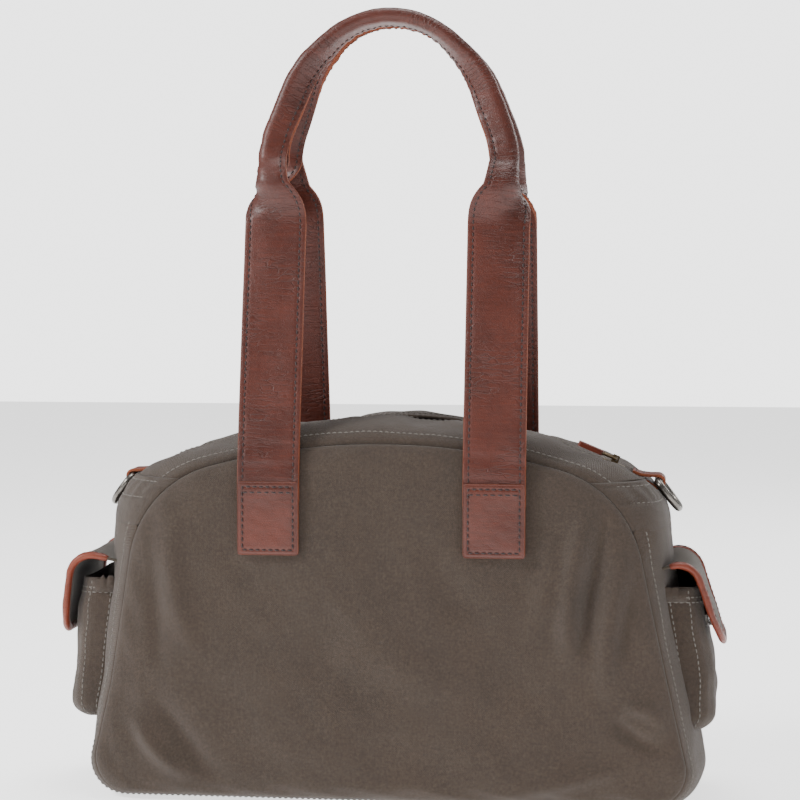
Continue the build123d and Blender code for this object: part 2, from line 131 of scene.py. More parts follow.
class Tree:
    """One material's node tree."""

    def __init__(self, name: str) -> None:
        """Make an empty material with an output node."""
        self.material = bpy.data.materials.new(name)
        self.material.use_nodes = True
        self.nodes = self.material.node_tree.nodes
        self.links = self.material.node_tree.links
        self.nodes.clear()

    def node(self, kind: str, settings: dict, sockets: dict, output: object = 0) -> Val:
        """Add a node.

        Args:
            kind: the node's type.
            settings: its properties, which are set first.
            sockets: input name or number to a number, colour or Val.
            output: the output that is returned.

        Returns:
            The chosen output.
        """
        made = self.nodes.new(kind)
        for name, value in settings.items():
            setattr(made, name, value)
        for name, value in sockets.items():
            if isinstance(value, Val):
                self.links.new(value.socket, made.inputs[name])
            else:
                made.inputs[name].default_value = value
        return Val(self, made.outputs[output])

    def place(self, scale: tuple[float, float, float] = (1, 1, 1)) -> Val:
        """Object coordinates in metres, scaled."""
        at = self.node("ShaderNodeTexCoord", {}, {}, "Object")
        return self.node("ShaderNodeMapping", {}, {"Vector": at, "Scale": scale})

    def cloth_uv(self) -> tuple[Val, Val]:
        """The two lengths along the surface, in metres, from its UV map."""
        at = self.node("ShaderNodeUVMap", {"uv_map": "cloth"}, {})
        parts = self.node("ShaderNodeSeparateXYZ", {}, {0: at}, "X")
        return parts, Val(self, parts.socket.node.outputs["Y"])

    def noise(self, at: Val, scale: float, detail: float = 3.0, rough: float = 0.55) -> Val:
        """Fractal noise between 0 and 1."""
        sockets = {"Vector": at, "Scale": scale, "Detail": detail, "Roughness": rough}
        return self.node("ShaderNodeTexNoise", {}, sockets)

    def mix(self, factor: Val | float, first: object, second: object) -> Val:
        """Mix two colours."""
        return self.node("ShaderNodeMix", {"data_type": "RGBA"}, {0: factor, 6: first, 7: second}, 2)

    def remap(self, value: Val, low: float, high: float, to_low: float, to_high: float) -> Val:
        """Map a range to another, clamped."""
        sockets = {0: value, 1: low, 2: high, 3: to_low, 4: to_high}
        return self.node("ShaderNodeMapRange", {"clamp": True}, sockets)

    def bump(self, height: Val, depth: float, strength: float = 1.0, normal: Val | None = None) -> Val:
        """Bump the normal with a height between 0 and 1 and its depth in metres."""
        sockets = {"Height": height, "Distance": depth, "Strength": strength}
        if normal is not None:
            sockets["Normal"] = normal
        return self.node("ShaderNodeBump", {}, sockets)

    def attribute(self, name: str) -> Val:
        """A mesh attribute's value."""
        return self.node("ShaderNodeAttribute", {"attribute_name": name}, {}, "Fac")

    def finish(self, **sockets: object) -> bpy.types.Material:
        """Add the Principled shader and the output.

        Args:
            sockets: Principled socket names, with _ for a space, to values.

        Returns:
            The material.
        """
        plain = {name.replace("_", " "): value for name, value in sockets.items()}
        shader = self.node("ShaderNodeBsdfPrincipled", {}, plain)
        out = self.nodes.new("ShaderNodeOutputMaterial")
        self.links.new(shader.socket, out.inputs["Surface"])
        return self.material


Colour = tuple[float, float, float, float]


def rgb(red: float, green: float, blue: float) -> Colour:
    """Colour from display values between 0 and 255."""
    levels = (red, green, blue)
    linear = [((c / 255 + 0.055) / 1.055) ** 2.4 if c > 10 else c / 255 / 12.92 for c in levels]
    return (*linear, 1.0)


def shade(colour: Colour, share: float) -> Colour:
    """The colour made lighter or darker by a share."""
    return (*[min(c * share, 1.0) for c in colour[:3]], 1.0)


@dataclass(frozen=True)
class Cloth:
    """Plain-weave cloth with slubs, soft fading and a fuzzy sheen."""

    name: str
    colour: Colour
    thread: float = 0.62 * MM
    depth: float = 0.16 * MM
    fade: float = 0.11
    warmth: Colour = (1.08, 0.98, 0.86, 1.0)

    def build(self) -> bpy.types.Material:
        """Make the material: over-and-under threads in the cloth's own lengths, with broad colour drift and
        painted shade in the gaps between threads.
        """
        t = Tree(self.name)
        u, v = t.cloth_uv()
        across, along = u * (math.pi / self.thread), v * (math.pi / self.thread)
        over = (across.sin() * along.sin()).above(0.0)
        warp, weft = across.sin().abs(), along.sin().abs()
        weave = over * warp + (1.0 - over) * weft
        at = t.place()
        slub_u = t.noise(t.place((1800, 1800, 60)), 1.0, 2.0)
        slub_v = t.noise(t.place((60, 1800, 1800)), 1.0, 2.0)
        drift = t.noise(at, 9.0, 4.0)
        cloud = t.noise(at, 42.0, 3.0)
        fine = t.noise(at, 900.0, 2.0)
        light = t.remap(drift * 0.6 + cloud * 0.4, 0.34, 0.66, 0.0, 1.0)
        base = t.mix(light, shade(self.colour, 1 - self.fade), shade(self.colour, 1 + self.fade * 0.75))
        warm = tuple(min(c * w, 1.0) for c, w in zip(self.colour, self.warmth))
        base = t.mix(t.remap(cloud, 0.45, 0.75, 0.0, 0.25), base, warm)
        base = t.mix(t.remap(slub_u, 0.50, 0.78, 0.0, 0.42), base, shade(self.colour, 1.42))
        base = t.mix(t.remap(slub_v, 0.50, 0.78, 0.0, 0.36), base, shade(self.colour, 0.62))
        grit = t.noise(at, 640.0, 3.0, 0.7)
        base = t.mix(t.remap(grit, 0.34, 0.50, 0.42, 0.0), base, shade(self.colour, 0.5))
        base = t.mix(t.remap(grit, 0.52, 0.68, 0.0, 0.42), base, shade(self.colour, 1.75))
        # Painted shade: the colour is darkened in the gaps between threads, where the weave is low.
        base = t.mix(t.remap(weave, 0.0, 0.75, 0.5, 0.0), base, shade(self.colour, 0.45))
        rough = t.remap(fine, 0.3, 0.7, 0.82, 0.96)
        normal = t.bump(weave, self.depth)
        normal = t.bump(slub_u * 0.5 + slub_v * 0.5, 0.22 * MM, 0.8, normal)
        normal = t.bump(cloud, 0.7 * MM, 0.6, normal)
        return t.finish(
            Base_Color=base, Roughness=rough, Normal=normal, Sheen_Weight=0.22, Sheen_Roughness=0.5,
            Specular_IOR_Level=0.22,
        )


@dataclass(frozen=True)
class Hide:
    """Oiled leather: pebbled grain, pores, fine cross wrinkles, and raw edges from the edge attribute."""

    name: str
    colour: Colour
    raw: Colour
    grain: float = 950.0
    wrinkle: float = 0.75
    gloss: float = 0.36
    coat: float = 0.14

    def build(self) -> bpy.types.Material:
        """Make the material, with painted shade in the grain's grooves and along the creases."""
        t = Tree(self.name)
        at = t.place()
        to_edge = {"feature": "DISTANCE_TO_EDGE"}
        cell = t.node("ShaderNodeTexVoronoi", to_edge, {"Vector": at, "Scale": self.grain})
        pores = t.remap(cell, 0.0, 0.22, 0.0, 1.0)
        patch = t.noise(at, 22.0, 4.0)
        fine = t.noise(at, 320.0, 4.0)
        streak = t.noise(t.place((60, 60, 560)), 1.0, 3.0)
        edge = t.attribute("edge")
        flat = t.node("ShaderNodeUVMap", {"uv_map": "cloth"}, {})
        bent = t.node("ShaderNodeMapping", {}, {"Vector": flat, "Scale": (48, 330, 1)})
        sway = t.noise(flat, 55.0, 2.0)
        bent = t.node("ShaderNodeVectorMath", {"operation": "ADD"}, {0: bent, 1: sway * 2.2})
        net = t.node("ShaderNodeTexVoronoi", to_edge, {"Vector": bent, "Scale": 1.0})
        where = t.remap(t.noise(flat, 26.0, 2.0), 0.42, 0.6, 0.0, 1.0)
        crease = (1.0 - t.remap(net, 0.0, 0.09, 0.0, 1.0)) * where * self.wrinkle
        base = t.mix(t.remap(patch, 0.35, 0.68, 0.0, 1.0), shade(self.colour, 0.72), shade(self.colour, 1.28))
        base = t.mix(t.remap(streak, 0.48, 0.72, 0.0, 0.4), base, shade(self.colour, 1.6))
        base = t.mix(t.remap(fine, 0.5, 0.75, 0.0, 0.35), base, shade(self.colour, 0.6))
        # Painted shade: darker in the grooves between the grain's cells, where the pore bump is low.
        base = t.mix(t.remap(pores, 0.0, 0.6, 0.35, 0.0), base, shade(self.colour, 0.5))
        # Painted shade: darker along the creases, which the bump also presses in.
        base = t.mix(crease * 0.55, base, shade(self.colour, 0.4))
        worn = (edge * t.remap(fine, 0.3, 0.6, 0.75, 1.0)).clamp()
        base = t.mix(worn, base, self.raw)
        rough = t.remap(patch + fine * 0.5, 0.5, 1.0, self.gloss, self.gloss + 0.2) + worn * 0.3
        normal = t.bump(pores, 0.10 * MM, 0.7)
        normal = t.bump(streak, 0.35 * MM, self.wrinkle, normal)
        normal = t.bump(1.0 - crease, 0.35 * MM, 0.9, normal)
        normal = t.bump(fine, 0.3 * MM, 0.5, normal)
        return t.finish(
            Base_Color=base, Roughness=rough, Normal=normal, Coat_Weight=self.coat, Coat_Roughness=0.3,
            Specular_IOR_Level=0.36,
        )


@dataclass(frozen=True)
class Metal:
    """Plated metal with rubbed highlights, small scratches and dull spots."""

    name: str
    colour: Colour
    rough: float = 0.22

    def build(self) -> bpy.types.Material:
        """Make the material."""
        t = Tree(self.name)
        at = t.place()
        spots = t.noise(at, 380.0, 4.0)
        scratch = t.noise(t.place((2400, 240, 900)), 1.0, 2.0)
        base = t.mix(t.remap(spots, 0.4, 0.7, 0.0, 0.6), self.colour, shade(self.colour, 0.55))
        base = t.mix(t.remap(scratch, 0.6, 0.75, 0.0, 0.5), base, shade(self.colour, 1.8))
        rough = t.remap(spots, 0.3, 0.75, self.rough, self.rough + 0.22)
        normal = t.bump(scratch, 0.03 * MM, 0.5)
        return t.finish(Base_Color=base, Roughness=rough, Metallic=1.0, Normal=normal)


@dataclass(frozen=True)
class Thread:
    """Twisted sewing thread or cord."""

    name: str
    colour: Colour

    def build(self) -> bpy.types.Material:
        """Make the material: a light and dark drift finer than one stitch."""
        t = Tree(self.name)
        ply = t.noise(t.place((3000, 3000, 3000)), 1.0, 1.0)
        base = t.mix(t.remap(ply, 0.35, 0.65, 0.0, 1.0), shade(self.colour, 0.7), shade(self.colour, 1.3))
        return t.finish(Base_Color=base, Roughness=0.75, Normal=t.bump(ply, 0.08 * MM), Sheen_Weight=0.2)


@dataclass(frozen=True)
class Board:
    """Dark plastic sheet with a fine grit."""

    name: str
    colour: Colour

    def build(self) -> bpy.types.Material:
        """Make the material."""
        t = Tree(self.name)
        grit = t.noise(t.place(), 700.0, 3.0)
        base = t.mix(grit, shade(self.colour, 0.8), shade(self.colour, 1.3))
        rough = t.remap(grit, 0.3, 0.7, 0.5, 0.7)
        return t.finish(Base_Color=base, Roughness=rough, Normal=t.bump(grit, 0.1 * MM))


@dataclass(frozen=True)
class Paper:
    """Seamless studio paper, lit through from behind."""

    name: str
    colour: Colour
    glow: float = 1.6

    def build(self) -> bpy.types.Material:
        """Make the material."""
        t = Tree(self.name)
        grain = t.noise(t.place(), 40.0, 2.0)
        base = t.mix(grain, self.colour, shade(self.colour, 0.985))
        return t.finish(
            Base_Color=base, Roughness=0.9, Specular_IOR_Level=0.1, Emission_Color=base,
            Emission_Strength=self.glow,
        )


# ---- Mesh helpers ------------------------------------------------------------------


def unit(vectors: Array) -> Array:
    """Vectors made one long."""
    return vectors / np.maximum(np.linalg.norm(vectors, axis=-1, keepdims=True), 1e-12)


def run_along(path: Array) -> Array:
    """Length run along a path at each of its points, from 0."""
    return np.concatenate([[0], np.cumsum(np.linalg.norm(np.diff(path, axis=0), axis=-1))])


def read_off(at: Array, known: Array, values: Array) -> Array:
    """Each of three columns of values, read off in straight lines between the known places."""
    return np.stack([np.interp(at, known, values[:, k]) for k in range(3)], -1)


def sheet_normals(grid: Array, sample: tuple, sign: int) -> Array:
    """Directions square to a grid of points.

    They are the cross product of its two slopes, turned so that the X part of the sample has this sign.
    """
    ways = unit(np.cross(np.gradient(grid, axis=0), np.gradient(grid, axis=1)))
    return ways * np.sign((ways[sample][..., 0] * sign).mean())


def ease(low: float, high: float, value: Array) -> Array:
    """Smooth step from 0 at low to 1 at high."""
    t = np.clip((value - low) / (high - low), 0, 1)
    return t * t * (3 - 2 * t)


def ripple(seed: int, points: Array, pitch: float, octaves: int = 3) -> Array:
    """Soft random relief between about -1 and 1.

    Each octave adds six sine waves in random directions, half as high and twice as fine as the last.

    Args:
        seed: picks the directions and phases.
        points: positions in metres, shaped (..., 3).
        pitch: the longest wave in metres.
        octaves: how many sizes of wave.

    Returns:
        The relief at each point.
    """
    rng = np.random.default_rng(seed)
    total = np.zeros(points.shape[:-1])
    for octave in range(octaves):
        ways = unit(rng.normal(size=(6, 3))) * (2 * math.pi * 2**octave / pitch)
        phases = rng.uniform(0, 2 * math.pi, 6)
        total += np.sin(points @ ways.T + phases).sum(-1) / (3.0 * 2**octave)
    return total


def mesh_object(name: str, points: Array, faces: Array, material: bpy.types.Material) -> bpy.types.Object:
    """Smooth mesh object from vertices and faces given as arrays."""
    mesh = bpy.data.meshes.new(name)
    mesh.from_pydata(points.reshape(-1, 3).tolist(), [], faces.tolist())
    mesh.polygons.foreach_set("use_smooth", np.ones(len(mesh.polygons), bool))
    mesh.materials.append(material)
    mesh.update()
    made = bpy.data.objects.new(name, mesh)
    bpy.context.scene.collection.objects.link(made)
    return made


def grid_faces(rows: int, columns: int, wrap_rows: bool = False, wrap_columns: bool = False) -> Array:
    """Quads of a grid whose vertices run row by row, with either direction closed on itself."""
    i = np.arange(rows if wrap_rows else rows - 1)
    j = np.arange(columns if wrap_columns else columns - 1)
    a, b = np.meshgrid(i, j, indexing="ij")
    a2, b2 = (a + 1) % rows, (b + 1) % columns
    quads = np.stack([a * columns + b, a2 * columns + b, a2 * columns + b2, a * columns + b2], -1)
    return quads.reshape(-1, 4)


def set_uv(made: bpy.types.Object, uv: Array) -> None:
    """Give the mesh a UV map called cloth, in metres along the surface, from one pair for each vertex."""
    mesh = made.data
    layer = mesh.uv_layers.new(name="cloth")
    corners = np.zeros(len(mesh.loops), np.int32)
    mesh.loops.foreach_get("vertex_index", corners)
    layer.data.foreach_set("uv", uv.reshape(-1, 2)[corners].astype(np.float32).ravel())


def set_edge(made: bpy.types.Object, values: Array) -> None:
    """Write the edge attribute, which is 1 where leather shows its raw edge."""
    layer = made.data.attributes.new("edge", "FLOAT", "POINT")
    layer.data.foreach_set("value", values.astype(np.float32).ravel())


def lengths_uv(points: Array) -> Array:
    """UV of a grid in metres: the length run along its middle row and down its middle column."""
    rows, columns = points.shape[:2]
    u = run_along(points[rows // 2])
    v = run_along(points[:, columns // 2])
    return np.stack(np.broadcast_arrays(u[None, :], v[:, None]), -1)


def grid_object(
    name: str, points: Array, material: bpy.types.Material, flip: bool = False, wrap_columns: bool = False
) -> bpy.types.Object:
    """Mesh of a grid of points with its UV in metres.

    Args:
        name: the piece's name.
        points: shaped (rows, columns, 3).
        material: its finish.
        flip: turn the faces over.
        wrap_columns: join the last column to the first.

    Returns:
        The object.
    """
    faces = grid_faces(points.shape[0], points.shape[1], wrap_columns=wrap_columns)
    made = mesh_object(name, points, faces[:, ::-1] if flip else faces, material)
    set_uv(made, lengths_uv(points))
    return made


def thicken(made: bpy.types.Object, wall: float, outwards: float = -1.0) -> bpy.types.Object:
    """Give a sheet its wall, inwards from its face unless outwards says otherwise."""
    solid = made.modifiers.new("wall", "SOLIDIFY")
    solid.thickness, solid.offset, solid.use_even_offset = wall, outwards, False
    return made


def tube(path: Array, normals: Array, half_width: Array, half_height: Array, sides: int) -> Array:
    """Rounded bar along a path.

    Each ring is an ellipse in the plane of the normal and the sideways direction. Its ends are left open.

    Args:
        path: points, shaped (n, 3).
        normals: the bar's upward direction at each point.
        half_width: sideways radius at each point.
        half_height: upward radius at each point.
        sides: points round each ring.

    Returns:
        Points shaped (n, sides, 3).
    """
    along = unit(np.gradient(path, axis=0))
    up = unit(normals - (normals * along).sum(-1, keepdims=True) * along)
    side = np.cross(along, up)
    turn = np.arange(sides) * 2 * math.pi / sides
    ring_side = np.cos(turn)[None, :, None] * np.asarray(half_width)[:, None, None] * side[:, None]
    ring_up = np.sin(turn)[None, :, None] * np.asarray(half_height)[:, None, None] * up[:, None]
    return path[:, None] + ring_side + ring_up


def resample(path: Array, step: float) -> tuple[Array, Array]:
    """Even points along a path.

    Args:
        path: points, shaped (n, 3).
        step: about the distance between points.

    Returns:
        The points, and where each lies on the old path, as a fraction of its numbering.
    """
    run = run_along(path)
    count = max(int(round(run[-1] / step)), 2)
    at = np.linspace(0, run[-1], count)
    where = np.interp(at, run, np.arange(len(path)))
    return read_off(at, run, path), where


@dataclass(frozen=True)
class Seam:
    """A row of stitches: its stitch length, the gap between stitches, and its thread."""

    material: bpy.types.Material
    stitch: float = 3.0 * MM
    gap: float = 0.9 * MM
    thread: float = 0.42 * MM

    def sew(self, name: str, path: Array, normals: Array) -> bpy.types.Object:
        """Sew a row along a path: each stitch is a low arch that dips into the cloth at its two ends.

        Args:
            name: the row's name.
            path: points on the surface.
            normals: the surface's outward direction at each point.

        Returns:
            The row, as one mesh.
        """
        pitch = self.stitch + self.gap
        starts, where = resample(path, pitch)
        starts, where = starts[:-1], where[:-1]
        step = np.gradient(where)[:, None] * (self.stitch / pitch)
        rings, sides = 5, 6
        along = np.linspace(0, 1, rings)[None, :]
        at = np.clip(where[:, None] + along * step, 0, len(path) - 1)
        index = np.arange(len(path))
        line = read_off(at, index, path)
        up = unit(read_off(at, index, normals))
        line = line + up * (self.thread * (1.1 * np.sin(math.pi * along) - 0.35))[..., None]
        forward = unit(line[:, -1] - line[:, 0])[:, None]
        side = np.cross(forward, up)
        turn = np.arange(sides) * 2 * math.pi / sides
        round_it = self.thread * np.sqrt(np.clip(1 - (2 * along - 1) ** 4, 0.05, 1))[..., None, None]
        ring = np.cos(turn)[:, None] * side[:, :, None] + np.sin(turn)[:, None] * up[:, :, None]
        points = line[:, :, None] + ring * round_it
        caps = np.array([[0, 1, 2, 3], [0, 3, 4, 5], [27, 26, 25, 24], [29, 28, 27, 24]])
        one = np.concatenate([grid_faces(rings, sides, wrap_columns=True), caps[:, ::-1]])
        faces = (one[None] + (np.arange(len(starts)) * rings * sides)[:, None, None]).reshape(-1, 4)
        return mesh_object(name, points, faces, self.material)


@dataclass(frozen=True)
class Workshop:
    """The finishes that the bag's pieces share."""

    canvas: bpy.types.Material
    flap_canvas: bpy.types.Material
    lining: bpy.types.Material
    leather: bpy.types.Material
    patch_leather: bpy.types.Material
    binding: bpy.types.Material
    nickel: bpy.types.Material
    zip_metal: bpy.types.Material
    zip_tape: bpy.types.Material
    cord: bpy.types.Material
    board: bpy.types.Material
    brown_seam: Seam
    grey_seam: Seam

    @classmethod
    def stocked(cls) -> "Workshop":
        """Build every finish once."""
        olive = rgb(67, 55.5, 46.5)
        raw_edge = rgb(128, 62, 32)
        brown_thread = Thread("thread_brown", rgb(30, 10, 8)).build()
        grey_thread = Thread("thread_grey", rgb(112, 107, 100)).build()
        return cls(
            canvas=Cloth("canvas", olive).build(),
            flap_canvas=Cloth("canvas_flap", rgb(73, 64, 54)).build(),
            lining=Cloth("lining_twill", rgb(150, 135, 108), thread=0.5 * MM).build(),
            leather=Hide("leather_red_brown", rgb(76, 30, 18), raw_edge).build(),
            patch_leather=Hide(
                "leather_smooth", rgb(84, 36, 23), raw_edge, wrinkle=0.12, gloss=0.3, coat=0.2
            ).build(),
            binding=Hide("leather_binding", rgb(110, 45, 26), rgb(134, 68, 36), gloss=0.3).build(),
            nickel=Metal("dark_nickel", rgb(112, 108, 103)).build(),
            zip_metal=Metal("antique_brass", rgb(120, 104, 82), 0.3).build(),
            zip_tape=Cloth("zip_tape_weave", rgb(62, 56, 49), thread=0.4 * MM, depth=0.1 * MM).build(),
            cord=Thread("cotton_cord", rgb(188, 176, 150)).build(),
            board=Board("base_board_sheet", rgb(40, 40, 40)).build(),
            brown_seam=Seam(brown_thread),
            grey_seam=Seam(grey_thread, stitch=2.6 * MM, gap=1.0 * MM, thread=0.36 * MM),
        )


def settle(
    made: bpy.types.Object, body: str | None = None, stands_for: tuple[str, ...] = ()
) -> bpy.types.Object:
    """Attach a finished piece to the body it rides on, hide the CAD nodes it stands for, and log its faces.
    """
    if body is not None:
        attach(made, body)
    if stands_for:
        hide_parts(*stands_for)
    log.info("%s: %d faces", made.name, len(made.data.polygons))
    return made


# ---- Bag body ----------------------------------------------------------------------


@dataclass(frozen=True)
class DomeForm:
    """The sewn body's form, as dome outlines standing at each depth y, in millimetres.

    Each outline runs from its foot's middle out along a flat bottom, round the foot corner, up a side that
    leans in, round the shoulder and over a wide crown arc to the top's middle.
    """

    seam_half_depth: float = 58.0
    counts: tuple[int, int, int, int, int] = (60, 22, 84, 42, 76)

    def section(self, depth: Array) -> dict[str, Array]:
        """The outline's sizes at each depth: the gusset is fullest between the seam and the zip."""
        t = np.clip(np.abs(depth) / self.seam_half_depth, 0, 1)
        puff = (1 - t**2.6) ** 0.6
        dip = 3.6 * np.exp(-((depth / 17.0) ** 2))
        return {
            "half": 183 + 10.5 * puff,
            "low": 4.2 * (1 - (1 - t**3) ** 0.6),
            "lean": 0.095 + 0.06 * t**2,
            "crest": 226 + 15.4 * (1 - t**3) ** 0.55 - 0.6 * dip,
            "crown": 367 + 41 * t**2,
            "shoulder": 50 + 20 * t**4,
            "corner": 28 - 4 * t,
        }

    def outline(self, depth: Array) -> Array:
        """Right-hand half of the outline at each depth, from foot to top.

        The foot corner and the shoulder are arcs that touch the lines on both sides: the side line is
        x = half - lean (z - low), and the shoulder's centre is where that line, moved in by the shoulder's
        radius, meets a circle of crown minus shoulder about the crown's centre.

        Args:
            depth: y of each outline in millimetres.

        Returns:
            Points shaped (depths, points, 3).
        """
        half, low, lean, crest, crown, shoulder, corner = (v[:, None] for v in self.section(depth).values())
        length = np.sqrt(1 + lean**2)
        centre_z = crest - crown
        slant = 1 + lean**2
        base = half - shoulder * length + lean * (low - centre_z)
        rise = (lean * base + np.sqrt(np.maximum(slant * (crown - shoulder) ** 2 - base**2, 0))) / slant
        shoulder_at = (base - lean * rise, centre_z + rise)
        corner_at = (half - corner * length - lean * corner, low + corner)
        side_turn = np.arctan2(lean, 1.0)
        crown_turn = np.arctan2(shoulder_at[1] - centre_z, shoulder_at[0])
        last = len(self.counts) - 1
        steps = [np.linspace(0, 1, n, endpoint=k == last)[None, :] for k, n in enumerate(self.counts)]

        def arc(centre: tuple, radius: Array, begin: Array | float, end: Array | float, step: Array) -> tuple:
            """X and Z on an arc, with the step from 0 at its beginning to 1 at its end."""
            turn = begin + (end - begin) * step
            return centre[0] + radius * np.cos(turn), centre[1] + radius * np.sin(turn)

        bottom = (corner_at[0] * steps[0], low + 0 * corner_at[0] * steps[0])
        foot = arc(corner_at, corner, -math.pi / 2, side_turn, steps[1])
        begin = arc(corner_at, corner, side_turn, side_turn, 0)
        end = arc(shoulder_at, shoulder, side_turn, side_turn, 0)
        side = [first + (second - first) * steps[2] for first, second in zip(begin, end)]
        eave = arc(shoulder_at, shoulder, side_turn, crown_turn, steps[3])
        top = arc((0.0, centre_z), crown, crown_turn, math.pi / 2, steps[4])
        x, z = (np.concatenate(parts, 1) for parts in zip(bottom, foot, side, eave, top))
        return np.stack([x, np.broadcast_to(depth[:, None], x.shape), z], -1)

    def ring(self, depth: Array) -> Array:
        """Whole outline at each depth: down the left from the top, under the foot and up the right."""
        right = self.outline(depth)
        left = right[:, 1:] * np.array([-1, 1, 1])
        return np.concatenate([left[:, ::-1], right[:, :-1]], 1)


@dataclass(frozen=True)
class Creases:
    """Listed folds: ridges and valleys along lines on the panels."""

    lines: tuple[tuple[float, ...], ...]

    def height(self, x: Array, z: Array) -> Array:
        """Relief in millimetres at each (x, z).

        Each line is x0, z0, x1, z1, half width and height: a bell across the line that fades out at its ends.
        """
        total = np.zeros_like(x)
        for x0, z0, x1, z1, width, height in self.lines:
            along = np.array([x1 - x0, z1 - z0])
            length = float(np.hypot(*along))
            along = along / length
            run = ((x - x0) * along[0] + (z - z0) * along[1]) / length
            off = (x - x0) * along[1] - (z - z0) * along[0]
            sway = 0.35 * width * np.sin(run * 5.0 + x0)
            on_line = np.abs(run - 0.5) < 0.5
            fade = np.clip(1 - np.abs(2 * np.clip(run, -0.3, 1.3) - 1) ** 2.5, 0, 1) * on_line
            total += height * np.exp(-(((off + sway) / width) ** 2)) * fade
        return total


PANEL_CREASES = Creases((
    (112, 88, 128, 200, 7.0, 1.9),
    (126, 96, 139, 206, 5.0, -1.6),
    (138, 70, 150, 178, 6.5, 1.7),
    (96, 104, 104, 176, 8.0, 0.9),
    (150, 96, 160, 160, 5.0, -1.2),
    (-120, 92, -138, 190, 8.0, 1.2),
    (-137, 80, -150, 168, 6.0, -1.0),
    (150, 70, 180, 54, 5.5, 2.1),
    (140, 56, 178, 40, 5.0, -1.6),
    (-168, 60, -120, 14, 6.0, 1.7),
    (-150, 66, -96, 12, 7.0, -1.3),
    (-176, 92, -150, 30, 6.0, -1.0),
    (60, 6, 150, 26, 6.0, 1.4),
    (-60, 12, 40, 8, 7.0, 1.2),
    (-40, 150, 30, 60, 20.0, 0.8),
    (20, 170, 60, 120, 12.0, -0.7),
    (-60, 60, -20, 120, 14.0, -0.7),
))


